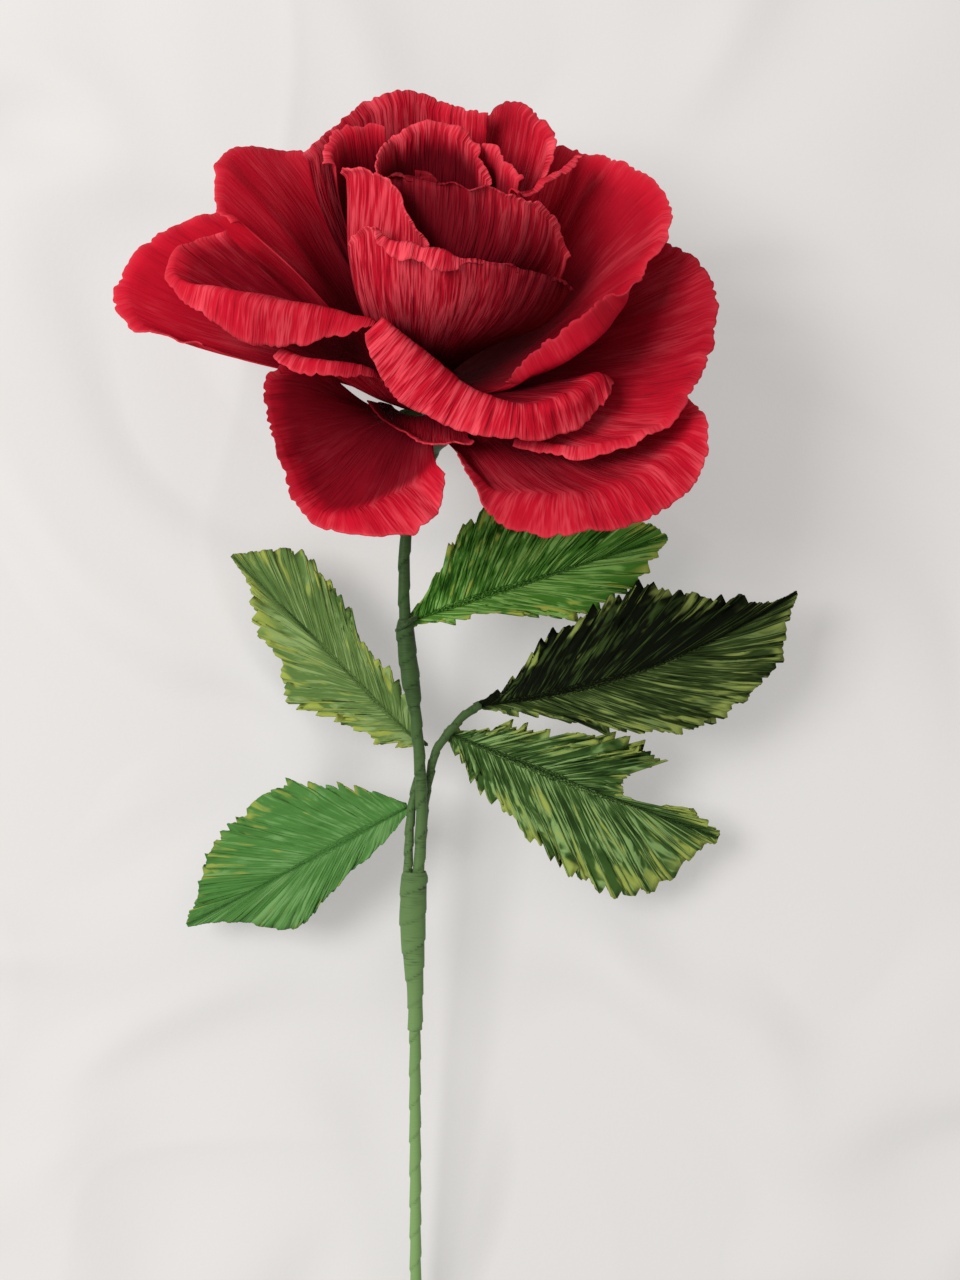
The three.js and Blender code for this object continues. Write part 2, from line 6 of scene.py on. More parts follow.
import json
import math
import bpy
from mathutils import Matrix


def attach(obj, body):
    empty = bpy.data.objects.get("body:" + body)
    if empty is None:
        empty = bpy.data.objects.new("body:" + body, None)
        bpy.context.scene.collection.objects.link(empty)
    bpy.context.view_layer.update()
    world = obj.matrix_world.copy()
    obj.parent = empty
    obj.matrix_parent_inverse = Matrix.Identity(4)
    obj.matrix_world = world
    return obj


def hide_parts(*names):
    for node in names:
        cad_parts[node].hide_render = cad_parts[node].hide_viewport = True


bl_info = {
    "name": "Crepe Paper Rose",
    "version": (1, 0, 0),
    "blender": (4, 5, 0),
    "location": "View3D > Sidebar > Paper Rose",
    "description": "Builds a handmade crepe paper rose with its taped stem and fringed leaves",
    "category": "Add Mesh",
}

import bmesh
import bpy
import numpy as np
from bpy.props import FloatProperty, FloatVectorProperty, PointerProperty
from mathutils import Vector

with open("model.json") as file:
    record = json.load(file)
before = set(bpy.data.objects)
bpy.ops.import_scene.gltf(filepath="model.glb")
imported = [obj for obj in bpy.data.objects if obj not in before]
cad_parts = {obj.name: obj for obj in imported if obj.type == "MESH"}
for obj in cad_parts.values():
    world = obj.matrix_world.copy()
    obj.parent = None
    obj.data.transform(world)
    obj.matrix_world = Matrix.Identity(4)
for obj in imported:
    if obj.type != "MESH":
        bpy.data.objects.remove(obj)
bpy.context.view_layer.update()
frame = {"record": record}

MM = 0.001
BODY = "root"

# The map of the flat paper, how many millimetres one unit of it is, and the distance in metres under which
# points along the seam of a tube are joined
PAPER_MAP, MAP_UNIT, JOINED = "paper", 100, 0.000002

# Flower: its axis leans up from the table, every petal is glued round the same heart, and the wire ends
# WIRE_TOP further up the axis
AXIS_RISE = math.radians(33)
HEART = np.array([-12.9, 56.4, 40.0])
AXIS = np.array([0.0, math.cos(AXIS_RISE), math.sin(AXIS_RISE)])
BEHIND = np.array([0.0, math.sin(AXIS_RISE), -math.cos(AXIS_RISE)])
WIRE_TOP = 16.0

# The stem's middle line from the calyx to its foot
STEM_LINE = [
    (-12.9, 47.6, 34.3), (-13.8, 39.5, 30.4), (-17.4, 29, 28.4), (-18.4, 17, 27.2), (-18, 0, 25.4),
    (-15.4, -22, 23), (-14.4, -42, 20.8), (-15.6, -66, 18.3), (-16.2, -100, 14.6), (-16.3, -140, 10.2),
    (-16.4, -185, 5), (-16.5, -222, 2.1), (-16.5, -238, 1.75), (-16.5, -257, 1.75),
]

# The stalk of the two leaves on the right, and the side stalk of the lower left leaf
SPRAY_LINE = [
    (-15, -56.5, 16.1), (-14.2, -48, 17), (-13.6, -40, 17.9), (-12.3, -33, 19), (-10.9, -27.5, 20.2),
    (-7.6, -22.6, 21), (-3.4, -18.2, 20.5), (0.4, -15.9, 19.8),
]
SIDE_LINE = [
    (-15.2, -33.5, 18.7), (-16.2, -38, 18.9), (-16.95, -42, 19.2), (-17.4, -47, 19.4),
    (-17.7, -54, 19.3), (-17.9, -60, 18.8), (-17.8, -66, 18.2),
]

# Where the tape, its thicker stretches and the calyx start and end, along the table's length
TAPED, UPPER_BINDING, LOWER_BINDING, CALYX = (41, -254.6), (5.2, -16), (-57, -98), (51.8, 40.6)

# The ring of tape where the upper right leaf's wire crosses the stem
LEAF_JOINT = [
    (-20.3, 2.2, 25.6), (-19.6, 2.7, 27.6), (-18, 3.7, 28.4), (-16.6, 4.9, 27.6), (-15.4, 5.5, 25.2),
]

# The tape fades towards the foot, and a leaf's wire lies a little under its paper
FADING_STARTS, FADING_REACH = 10, 165
UNDER_LEAF = 1.0

# Thickness in metres of the tape at the open ends of the bindings and of the calyx
BINDING_WALL, CALYX_WALL = 0.0003, 0.0004

# Everything is measured from the foot of the stem, which the frame's one mount names
FOOT = np.array(STEM_LINE[-1])
SHIFT = np.array(frame["record"]["mounts"][0]["pos_m"]) / MM - FOOT

# Petals, from the heart outwards: azimuth of the root in degrees (0 right, 90 underneath, 180 left,
# 270 on top), radius and height of the root, half its spread, the lean it leaves with, and the rim:
# azimuth, radius and height of the fold line, the lean there, and the width of the lip and its turn,
# outwards or, if less than 0, inwards. A lip does all its turning in FOLD_SHARE of its width
FOLD_SHARE = 0.35
PETALS = {
    "inner_back": (98, 2.2, 14, 62, 30, [
        (4, 14, 51, 0, 2, 30), (40, 14, 57, 0, 3, 40), (81, 12, 60, 0, 3, 40), (125, 12, 57, 0, 2, 30),
        (176, 9.5, 56, 0, 2, 30), (194, 10, 53, 0, 2, 40)]),
    "inner_right": (20, 3, 13, 26, 30, [
        (346, 21, 54, 5, 3, 60), (363, 18, 55, 5, 2, 30), (380, 18, 56, 5, 2, 30), (397, 17, 56, 5, 2, 20)]),
    "inner_left": (156, 3, 13, 46, 30, [
        (120, 17, 59, 5, 2, 20), (136, 18.5, 59.5, 5, 2, 30), (152, 20, 58.5, 5, 3, 40),
        (167, 20, 57, 5, 3, 70), (180, 19, 55.5, 4, 3.5, 90)]),
    "inner_front": (286, 3.8, 12, 46, 38, [
        (218, 8, 55, 0, 2, 100), (262, 11, 57, 0, 2, 120), (301, 19, 56, 0, 1.5, 60),
        (320, 26, 54, 0, 2, 30), (336, 30, 48, 0, 2, 30), (348, 32, 37, 0, 2, 10)]),
    "cup_back": (102, 4.6, 10, 54, 34, [
        (54, 25, 60, 6, 2, 20), (77, 27, 59, 6, 3, 30), (99, 26, 62, 6, 4, 30), (129, 24, 59, 6, 4, 30),
        (163, 26, 54, 6, 3, 30)]),
    "cup_back_right": (48, 5.2, 9, 38, 38, [
        (10, 27, 50, 14, 2, 20), (22, 30, 57, 14, 3, 40), (37, 30, 60, 14, 3, 40), (51, 31, 61, 14, 3, 30),
        (64, 31, 57, 14, 2, 20), (76, 31, 52, 14, 2, 10)]),
    "cup_left": (218, 4.8, 10, 40, 44, [
        (197, 16.8, 54.5, -4, 2, 40), (210, 16.5, 56.5, -4, 3, 40), (228, 15.5, 57, -3, 2.5, 30),
        (247, 16, 56, -2, 2, 20), (262, 19, 52, -2, 1, 10), (275, 21, 45, -2, 1, 10)]),
    "cup_right": (350, 3.2, 9, 10, 34, [
        (336, 21, 53, 8, 3.5, 110), (355, 25, 52, 10, 3, 90), (368, 30.5, 53, 10, 3, 90),
        (377, 36, 54, 10, 2.5, 80)]),
    "cup_front": (282, 5.8, 7, 52, 38, [
        (225, 21, 43, 0, 2, 20), (243, 22, 48, 0, 2, 30), (257, 24, 47, 0, 4.5, 150),
        (270, 25, 46.5, 0, 5.5, 155), (284, 28, 45.5, 2, 5, 155), (294, 29.5, 45, 5, 2, 120),
        (307, 32, 43, 8, 2.2, 130), (320, 34, 40, 14, 2.2, 130), (338, 35, 33, 18, 2, 110)]),
    "upper_left": (158, 6.6, 6, 38, 42, [
        (137, 29, 51, 45, 2, 10), (146, 38, 51, 50, 3, 20), (157, 44, 53, 50, 3, 30),
        (166, 45, 52, 50, 3, 30), (176, 44, 47, 50, 3, 30), (184, 40, 44, 50, 3, 40)]),
    "upper_right": (345, 6.8, 5, 46, 66, [
        (311, 29, 14, 45, 2, -20), (318, 41, 21.5, 50, 7, -75), (325, 47, 26.5, 50, 9, -80),
        (336.5, 46.7, 30.5, 50, 6.5, -70), (345, 48.5, 37.5, 50, 2.5, 20), (353, 52, 42.5, 50, 3, 40),
        (366, 52.5, 47, 48, 3, 20), (382, 44.5, 50, 40, 3, 20), (397, 37, 52, 35, 2, 10)]),
    "left_boat": (207, 7.2, 4, 44, 48, [
        (175, 44, 39, 40, 1, 15), (179, 54, 36.5, 48, 1, 15), (184, 55, 32, 60, 3.5, 70),
        (194, 46, 33, 70, 9.5, 95), (205, 38, 32.5, 75, 13, 100), (216, 31, 31, 75, 10.5, 95),
        (227, 26, 29.5, 70, 6.5, 85), (237, 23.5, 28, 65, 4, 70), (244, 22.5, 27, 62, 2, 50)]),
    "front_lip": (280, 7.6, 2, 50, 58, [
        (252, 24.5, 31, 60, 7, 85), (262, 25, 27, 65, 11, 95), (271, 26, 24, 70, 14, 105),
        (289, 30, 17, 73, 12, 105), (305, 37, 13, 75, 9, 90), (318, 43, 15, 73, 10, 100),
        (328, 44, 17, 65, 8, 90), (336, 44, 14, 60, 3, 60)]),
    "right_outer": (336, 8, 1, 42, 56, [
        (308, 34, 4, 80, 4, 60), (319, 48, 4, 78, 4, 50), (331, 59, 8, 70, 3, 30), (340, 63, 16, 63, 3, 20),
        (350, 64, 27, 60, 3, 20), (359, 60, 33, 60, 3, 20), (366, 52, 36, 60, 2, 10)]),
    "left_under": (232, 8, 1, 27, 60, [
        (206, 34, 18.5, 60, 4, 50), (213, 32.5, 18.7, 60, 5, 70), (224, 29.5, 19, 60, 5, 75),
        (236, 26, 18.5, 60, 4, 70), (248, 22, 15, 60, 2, 40)]),
    "far_left": (176, 7.8, 1, 28, 56, [
        (160, 48, 40, 62, 2, 10), (169, 60, 35, 62, 3, 30), (178, 67, 27, 62, 4, 30),
        (184, 63, 21, 62, 4, 30), (191, 50, 18, 62, 2, 10)]),
    "front_under": (258, 8.5, 0, 56, 66, [
        (232, 20, 6.5, 60, 1, 10), (245, 23, 6.2, 60, 1, 10), (259, 25, 4.5, 60, 1.5, 15),
        (268, 27, 4, 60, 2, 20), (276, 29, 3, 60, 2, 20), (284, 30, 3, 60, 2, 20), (292, 30, 4, 60, 2, 20)]),
    "lower_left": (238, 8.8, -2, 38, 66, [
        (208, 32, 16, 75, 2, 10), (211, 39, 13, 80, 2, 15), (226, 43, 3, 80, 2.5, 20),
        (238, 45.5, -6, 82, 4, 25), (246.4, 44.5, -8, 84, 6, 30), (252, 41.5, -7.5, 84, 11, 34),
        (260, 36.5, -6, 84, 13.5, 36), (268, 33, -4, 84, 10.5, 36), (276, 31, -1, 82, 5, 30)]),
    "lower_right": (316, 9, -2, 36, 66, [
        (286, 29, -1, 80, 2, 10), (291, 35, -2.5, 80, 4, 30), (295.7, 39.9, -4.7, 82, 8, 35),
        (305.7, 51.7, -2.7, 82, 12, 35), (318.8, 57.7, -1.7, 82, 12, 35), (331.3, 62.5, 0.8, 80, 9, 30),
        (338, 64.5, 5.5, 78, 4, 25), (344, 58, 10, 75, 2, 10)]),
    "back_left": (122, 8.2, 0, 24, 54, [
        (96, 42, 15, 65, 2, 10), (104, 57, 18, 75, 3, 30), (120, 62, 20, 75, 3, 30), (134, 55, 20, 75, 3, 30),
        (143, 40, 16, 65, 2, 10)]),
    "back_right": (55, 8.2, 0, 28, 54, [
        (20, 38, 16, 65, 2, 10), (34, 54, 20, 75, 3, 30), (54, 62, 20, 75, 3, 30), (74, 58, 18, 75, 3, 30),
        (82, 42, 15, 65, 2, 10)]),
    "back_middle": (90, 9.2, -3, 32, 62, [
        (54, 32, 7, 80, 2, 10), (68, 42, 8, 85, 3, 20), (90, 45, 8, 88, 3, 20), (112, 42, 8, 85, 3, 20),
        (126, 32, 7, 80, 2, 10)]),
}

# Crinkle and painted shade of each petal: how strongly its paper is crinkled, which also sets how strong the
# painted highlight and shade on its ribs are, how dark the painted shade makes it inside the fold of its rim,
# how many millimetres from the rim the painted shade deep inside the flower is at its darkest, and how dark
# the
# painted shade makes one side: its end, or its start if less than 0. Petals that aren't listed are plain
PLAIN_PETAL = (0.3, 0.25, 46, 0)
PETAL_CRINKLE_AND_SHADE = {
    "inner_back": (0.75, 0.3, 6, 0),
    "inner_right": (0.4, 0.72, 7, 0),
    "inner_left": (0.35, 0.55, 9, 0),
    "inner_front": (0.8, 0.45, 16, -0.85),
    "cup_back": (0.65, 0.15, 22, 0.25),
    "cup_back_right": (0.5, 0.1, 34, 0.36),
    "cup_left": (0.6, 0.05, 60, 0),
    "cup_right": (0.4, 0.3, 20, 0),
    "cup_front": (1.0, 0.0, 37, 0.8),
    "upper_left": (0.18, 0.05, 46, -0.3),
    "upper_right": (0.18, 0.3, 50, -0.28),
    "left_boat": (0.42, 0.6, 44, 0.15),
    "front_lip": (0.66, 0.6, 26, 0),
    "right_outer": (0.28, 0.15, 56, 0.42),
    "left_under": (0.4, 0.0, 60, 0.35),
    "far_left": (0.12, 0.0, 60, 0),
    "front_under": (0.3, 0.1, 14, -0.98),
    "lower_left": (0.3, 0.66, 38, -0.42),
    "lower_right": (0.36, 0.45, 48, -0.25),
}

# Rolled strip in the heart of the flower: its ends along the axis, its turns, and its mesh
ROLL_LOW, ROLL_HIGH = 18, 54
ROLL_FIRST, ROLL_MEAN, ROLL_PITCH, ROLL_TURNS, ROLL_FLARE = 1.6, 3, 0.95, 2.3, 0.5
ROLL_COLUMNS, ROLL_ROWS = 180, 40

# Leaves: the two ends of the midrib, how far its middle bows to the left and arches up, how steeply
# the halves fall away beside it, where its wire starts, and rows of share of the length with the
# half widths to the left and to the right
LEAVES = {
    "upper_right": ((-15.2, 5, 24.6), (47, 26, 12), 0, 3, 0.12, (-15.4, 4.8, 23.6), [
        (0, 1, 1), (0.1, 7, 2.8), (0.2, 13, 4.5), (0.33, 20, 6.5), (0.5, 23, 9.5), (0.67, 21, 12.8),
        (0.85, 12, 8.5), (1, 0.6, 0.6)]),
    "upper_left": ((-16.5, -24, 19.4), (-62.3, 21.3, 12), 0, 2, 0.1, (-12.8, -26.2, 18.6), [
        (0, 1, 1), (0.1, 7, 5.5), (0.22, 10, 7.5), (0.36, 13, 8), (0.48, 16, 9.5), (0.6, 12, 12),
        (0.72, 9.5, 13.5), (0.86, 3, 12), (1, 0.5, 0.5)]),
    "lower_left": ((-20.4, -42.6, 18.6), (-74.4, -72.4, 7), 0, 3, 0.15, (-18.9, -42.3, 17.8), [
        (0, 1, 1.5), (0.06, 3, 7.5), (0.18, 6, 12.5), (0.35, 8.5, 19.5), (0.48, 11, 20.5), (0.62, 14, 18),
        (0.76, 8, 15.5), (0.88, 3, 8.5), (1, 0.5, 0.5)]),
    "lower_right": ((1.4, -15.4, 19.6), (78.2, 11.7, 20), -5, 4, 0.12, (1.3, -15.4, 18.6), [
        (0, 1, 1), (0.17, 8, 6), (0.3, 16.5, 11), (0.45, 19, 17), (0.6, 19.5, 20), (0.75, 11, 19),
        (0.88, 4, 14.5), (0.94, 1.6, 7), (1, 0.5, 0.5)]),
    "bitten": ((-6.2, -23.6, 19.6), (60.2, -50.1, 9), 0, 3, 0.12, (-6, -24, 18.4), [
        (0, 1, 1), (0.12, 5.5, 8), (0.3, 10, 14.5), (0.5, 14.5, 20.5), (0.65, 14.5, 23.5), (0.78, 11, 23),
        (0.9, 4.5, 15), (0.96, 2.5, 4), (1, 1.5, 1.5)]),
}

# The bite out of one leaf is an oval: its middle on the table and its half sizes
BITE_AT, BITE_REACH = (46.5, -36.4), (12.5, 4.8)

# Sepals: places round the calyx in degrees, length and half width, how far their bases stand out from the
# flower's axis and below its heart, and how far their tips bend back
SEPAL_AZIMUTHS = (30, 90, 150, 225, 318)
SEPAL_LENGTH, SEPAL_HALF, SEPAL_OUT, SEPAL_BELOW, SEPAL_BEND = 21, 3.4, 9.2, 6.6, 6

# The window in metres: it stands to the left of the rose's middle and above it, and is aimed a little
# towards the flower
WINDOW_FROM_CENTRE, WINDOW_SIZE, WINDOW_AIM = (-0.62, 0.22, 0.92), 0.5, 0.04


# Settings


class PetalSettings(bpy.types.PropertyGroup):
    """Paper and finish of the petals."""

    thickness: FloatProperty(
        name="Thickness", description="Thickness of the petal paper", default=0.00032, unit="LENGTH"
    )
    rib_spacing: FloatProperty(
        name="Rib spacing", description="Distance between the crepe ribs", default=0.0013, unit="LENGTH"
    )
    rib_height: FloatProperty(
        name="Rib height", description="Height of the crepe ribs", default=0.00052, unit="LENGTH"
    )
    frill: FloatProperty(
        name="Frill", description="How far the rim waves in and out", default=0.0009, unit="LENGTH"
    )
    rag: FloatProperty(
        name="Ragged edge", description="Depth of the tears in the cut rim", default=0.0018, unit="LENGTH"
    )
    paper: FloatVectorProperty(
        name="Paper", description="Colour of the crepe",
        subtype="COLOR", size=3, default=(0.455, 0.0045, 0.018), min=0, max=1,
    )
    # Painted shade between the ribs
    valley: FloatVectorProperty(
        name="Valleys", description="Colour between the ribs",
        subtype="COLOR", size=3, default=(0.27, 0.0032, 0.011), min=0, max=1,
    )
    # Painted highlight along the ribs and the rim
    crest: FloatVectorProperty(
        name="Crests", description="Colour along the ribs and the rim",
        subtype="COLOR", size=3, default=(0.69, 0.066, 0.09), min=0, max=1,
    )
    # Painted shade deep inside the flower
    heart: FloatVectorProperty(
        name="Heart", description="Colour of the painted shade deep inside the flower",
        subtype="COLOR", size=3, default=(0.105, 0.002, 0.006), min=0, max=1,
    )


class LeafSettings(bpy.types.PropertyGroup):
    """Paper and finish of the leaves."""

    thickness: FloatProperty(
        name="Thickness", description="Thickness of the leaf paper", default=0.0004, unit="LENGTH"
    )
    strand_spacing: FloatProperty(
        name="Strand spacing", description="Width of one slanting strand", default=0.0011, unit="LENGTH"
    )
    strand_height: FloatProperty(
        name="Strand height", description="Height of the strands", default=0.00055, unit="LENGTH"
    )
    tooth: FloatProperty(
        name="Tooth", description="Length of the teeth along the edge", default=0.0019, unit="LENGTH"
    )
    fray: FloatProperty(
        name="Fray", description="How unevenly the strands end", default=0.0025, unit="LENGTH"
    )
    slant: FloatProperty(
        name="Slant", description="How strongly the strands sweep towards the tip; 1 is not at all",
        default=2.5,
    )
    neck: FloatProperty(
        name="Neck", description="Length of the narrow neck that is taped to the stalk",
        default=0.003, unit="LENGTH",
    )


class StemSettings(bpy.types.PropertyGroup):
    """Wire and tape of the stem."""

    wire_radius: FloatProperty(
        name="Wire radius", description="Radius of the florist's wire", default=0.0008, unit="LENGTH"
    )
    tape_radius: FloatProperty(
        name="Tape radius", description="Outer radius of the taped stem", default=0.00142, unit="LENGTH"
    )
    tape_width: FloatProperty(
        name="Tape width", description="How far one turn of tape climbs the stem",
        default=0.0085, unit="LENGTH",
    )
    tape_step: FloatProperty(
        name="Tape step", description="Step where a turn of tape overlaps the last one",
        default=0.0003, unit="LENGTH",
    )
    tape: FloatVectorProperty(
        name="Tape", description="Colour of the tape under the flower",
        subtype="COLOR", size=3, default=(0.032, 0.068, 0.018), min=0, max=1,
    )
    faded: FloatVectorProperty(
        name="Faded tape", description="Colour of the tape at the foot",
        subtype="COLOR", size=3, default=(0.17, 0.29, 0.1), min=0, max=1,
    )


class StageSettings(bpy.types.PropertyGroup):
    """Table, light and camera."""

    cloth: FloatVectorProperty(
        name="Cloth", description="Colour of the cloth on the table",
        subtype="COLOR", size=3, default=(0.345, 0.335, 0.325), min=0, max=1,
    )
    glow: FloatProperty(
        name="Glow", description="Daylight that comes through the thin cloth from behind", default=0.34
    )
    crease: FloatProperty(
        name="Crease", description="Depth of the soft creases in the cloth", default=0.0035, unit="LENGTH"
    )
    wrinkle: FloatProperty(
        name="Wrinkle", description="Strength of the fine wrinkles in the cloth",
        default=0.004, unit="LENGTH",
    )
    key: FloatProperty(
        name="Key light", description="Power of the large window light in watts", default=11.2
    )
    sky: FloatProperty(
        name="Room light", description="Strength of the light from all round", default=0.62
    )
    camera_height: FloatProperty(
        name="Camera height", description="Height of the camera above the table",
        default=0.45, unit="LENGTH",
    )
    lens: FloatProperty(
        name="Lens", description="Focal length of the camera in millimetres", default=49.05
    )


# Shape helpers


def hashed(x, y, seed):
    """A fixed random number from 0 to 1 for each whole x, y."""
    value = np.sin(x * 127.1 + y * 311.7 + seed * 74.7) * 43758.5453
    return value - np.floor(value)


def wander(x, y, seed):
    """Smooth random numbers from 0 to 1 over the plane, one bump for each unit."""
    x, y = np.broadcast_arrays(np.asarray(x, float), np.asarray(y, float))
    left, low = np.floor(x), np.floor(y)
    across, along = x - left, y - low
    across, along = across**2 * (3 - 2 * across), along**2 * (3 - 2 * along)
    near = hashed(left, low, seed) * (1 - across) + hashed(left + 1, low, seed) * across
    far = hashed(left, low + 1, seed) * (1 - across) + hashed(left + 1, low + 1, seed) * across
    return near * (1 - along) + far * along


def smooth(share):
    """Eases from 0 to 1."""
    share = np.clip(share, 0, 1)
    return share**2 * (3 - 2 * share)


def ridge(x, y, seed):
    """Like wander, but in crisp crests between wider valleys."""
    return 1 - np.abs(2 * wander(x, y, seed) - 1) ** 0.8


def through(knots, rows, at):
    """A smooth curve through rows of numbers, row i standing at knots[i], read at the places in at."""
    knots, rows = np.asarray(knots, float), np.asarray(rows, float)
    last = len(knots) - 1
    before, after = np.maximum(np.arange(last + 1) - 1, 0), np.minimum(np.arange(last + 1) + 1, last)
    slopes = (rows[after] - rows[before]) / (knots[after] - knots[before])[:, None]
    i = np.clip(np.searchsorted(knots, at, side="right") - 1, 0, last - 1)
    span = (knots[i + 1] - knots[i])[..., None]
    t = (at - knots[i])[..., None] / span
    return (
        (2 * t**3 - 3 * t**2 + 1) * rows[i]
        + (t**3 - 2 * t**2 + t) * span * slopes[i]
        + (3 * t**2 - 2 * t**3) * rows[i + 1]
        + (t**3 - t**2) * span * slopes[i + 1]
    )


def unit(vectors):
    """Vectors of length 1."""
    return vectors / np.maximum(np.linalg.norm(vectors, axis=-1, keepdims=True), 1e-9)


def lengths(points):
    """Distance along a row of points from its first one."""
    steps = np.linalg.norm(np.diff(points, axis=0), axis=-1)
    return np.concatenate([np.zeros((1,) + steps.shape[1:]), np.cumsum(steps, axis=0)])


def normals(points):
    """Unit normals of a grid of points."""
    return unit(np.cross(np.gradient(points, axis=0), np.gradient(points, axis=1)))


def polar(azimuth, radius, height):
    """Points round an axis, from azimuth in radians, radius and height."""
    azimuth, radius, height = np.broadcast_arrays(azimuth, radius, height)
    return np.stack([radius * np.cos(azimuth), radius * np.sin(azimuth), height], -1)


def from_flower(points):
    """Points measured from the heart along the flower's own directions, carried to the table's."""
    right = np.array([1.0, 0.0, 0.0])
    return HEART + points[..., 0:1] * right + points[..., 1:2] * BEHIND + points[..., 2:3] * AXIS


def lay(name, points, chart, marks, finish, nodes, thickness, closed=False):
    """Makes one piece: a grid of faces carried onto points [column, row] in millimetres.

    chart holds the place on the flat paper in millimetres, and marks are numbers for the finish.
    """
    columns, rows = points.shape[0] - 1, points.shape[1] - 1
    form = bmesh.new()
    bmesh.ops.create_grid(form, x_segments=columns, y_segments=rows, size=1.0)
    mesh = bpy.data.meshes.new(name)
    form.to_mesh(mesh)
    form.free()
    flat = np.empty(len(mesh.vertices) * 3, np.float32)
    mesh.vertices.foreach_get("co", flat)
    flat = flat.reshape(-1, 3)
    i = np.rint((flat[:, 0] + 1) / 2 * columns).astype(int)
    j = np.rint((flat[:, 1] + 1) / 2 * rows).astype(int)
    mesh.vertices.foreach_set("co", ((points[i, j] + SHIFT) * MM).astype(np.float32).ravel())
    corners = np.empty(len(mesh.loops), np.int32)
    mesh.loops.foreach_get("vertex_index", corners)
    paper_map = mesh.uv_layers.new(name=PAPER_MAP)
    paper_map.uv.foreach_set("vector", (chart[i[corners], j[corners]] / MAP_UNIT).astype(np.float32).ravel())
    for mark, values in marks.items():
        layer = mesh.attributes.new(mark, "FLOAT", "POINT")
        layer.data.foreach_set("value", values[i, j].astype(np.float32))
    if closed:
        form = bmesh.new()
        form.from_mesh(mesh)
        bmesh.ops.remove_doubles(form, verts=form.verts, dist=JOINED)
        bmesh.ops.recalc_face_normals(form, faces=form.faces)
        form.to_mesh(mesh)
        form.free()
    mesh.shade_smooth()
    mesh.materials.append(finish)
    piece = bpy.data.objects.new(name, mesh)
    bpy.context.scene.collection.objects.link(piece)
    if thickness:
        wall = piece.modifiers.new("Sheet", "SOLIDIFY")
        wall.thickness = thickness
        wall.offset = 0
    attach(piece, BODY)
    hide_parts(*nodes)


# Finishes

# Height in metres of the relief that the shader groups add, and how much the papers mirror
PETAL_RELIEF, LEAF_RELIEF, TAPE_RELIEF = 0.0006, 0.0002, 0.00012
PETAL_GLOSS, LEAF_GLOSS = 0.04, 0.03

# How steeply noise runs up to a crest
CREST_GAIN = 4.4


def group(name, inputs, outputs):
    """An empty shader group with named sockets, and its input and output nodes."""
    tree = bpy.data.node_groups.new(name, "ShaderNodeTree")
    for title, kind, default in inputs:
        socket = tree.interface.new_socket(name=title, in_out="INPUT", socket_type=kind)
        socket.default_value = default
    for title, kind in outputs:
        tree.interface.new_socket(name=title, in_out="OUTPUT", socket_type=kind)
    return tree, tree.nodes.new("NodeGroupInput"), tree.nodes.new("NodeGroupOutput")


def streaks(tree, vector, across, along):
    """Noise drawn out along the paper: across and along are its size in millimetres."""
    stretch = tree.nodes.new("ShaderNodeMapping")
    stretch.inputs["Scale"].default_value = (MAP_UNIT / across, MAP_UNIT / along, 1)
    noise = tree.nodes.new("ShaderNodeTexNoise")
    noise.inputs["Scale"].default_value = 1.0
    noise.inputs["Detail"].default_value = 2.0
    tree.links.new(vector, stretch.inputs["Vector"])
    tree.links.new(stretch.outputs["Vector"], noise.inputs["Vector"])
    return noise.outputs["Fac"]


def crests(tree, value):
    """Folds noise about its middle, so that it runs up to crisp crests."""
    spread = tree.nodes.new("ShaderNodeMath")
    spread.operation = "MULTIPLY_ADD"
    spread.inputs[1].default_value = CREST_GAIN
    spread.inputs[2].default_value = -CREST_GAIN / 2
    tree.links.new(value, spread.inputs[0])
    size = tree.nodes.new("ShaderNodeMath")
    size.operation = "ABSOLUTE"
    tree.links.new(spread.outputs[0], size.inputs[0])
    return sum_of(tree, [(size.outputs[0], -1.0)], 1.0)


def sum_of(tree, terms, offset=0.0):
    """Adds value sockets, each times its own weight, to an offset, and keeps the sum from 0 to 1."""
    total = None
    for socket, weight in terms:
        node = tree.nodes.new("ShaderNodeMath")
        node.operation = "MULTIPLY_ADD"
        tree.links.new(socket, node.inputs[0])
        node.inputs[1].default_value = weight
        if total is None:
            node.inputs[2].default_value = offset
        else:
            tree.links.new(total, node.inputs[2])
        total = node.outputs[0]
    node.use_clamp = True
    return total


def times(tree, first, second):
    """The product of two value sockets."""
    node = tree.nodes.new("ShaderNodeMath")
    node.operation = "MULTIPLY"
    tree.links.new(first, node.inputs[0])
    tree.links.new(second, node.inputs[1])
    return node.outputs[0]


def blend(tree, factor, first, second):
    """Mixes two colours, each a socket."""
    mix = tree.nodes.new("ShaderNodeMix")
    mix.data_type = "RGBA"
    tree.links.new(factor, mix.inputs["Factor"])
    tree.links.new(first, mix.inputs["A"])
    tree.links.new(second, mix.inputs["B"])
    return mix.outputs["Result"]


def ramp(tree, value, low, high):
    """0 below low and 1 above high."""
    node = tree.nodes.new("ShaderNodeMapRange")
    node.interpolation_type = "SMOOTHSTEP"
    node.inputs["From Min"].default_value = low
    node.inputs["From Max"].default_value = high
    tree.links.new(value, node.inputs["Value"])
    return node.outputs["Result"]


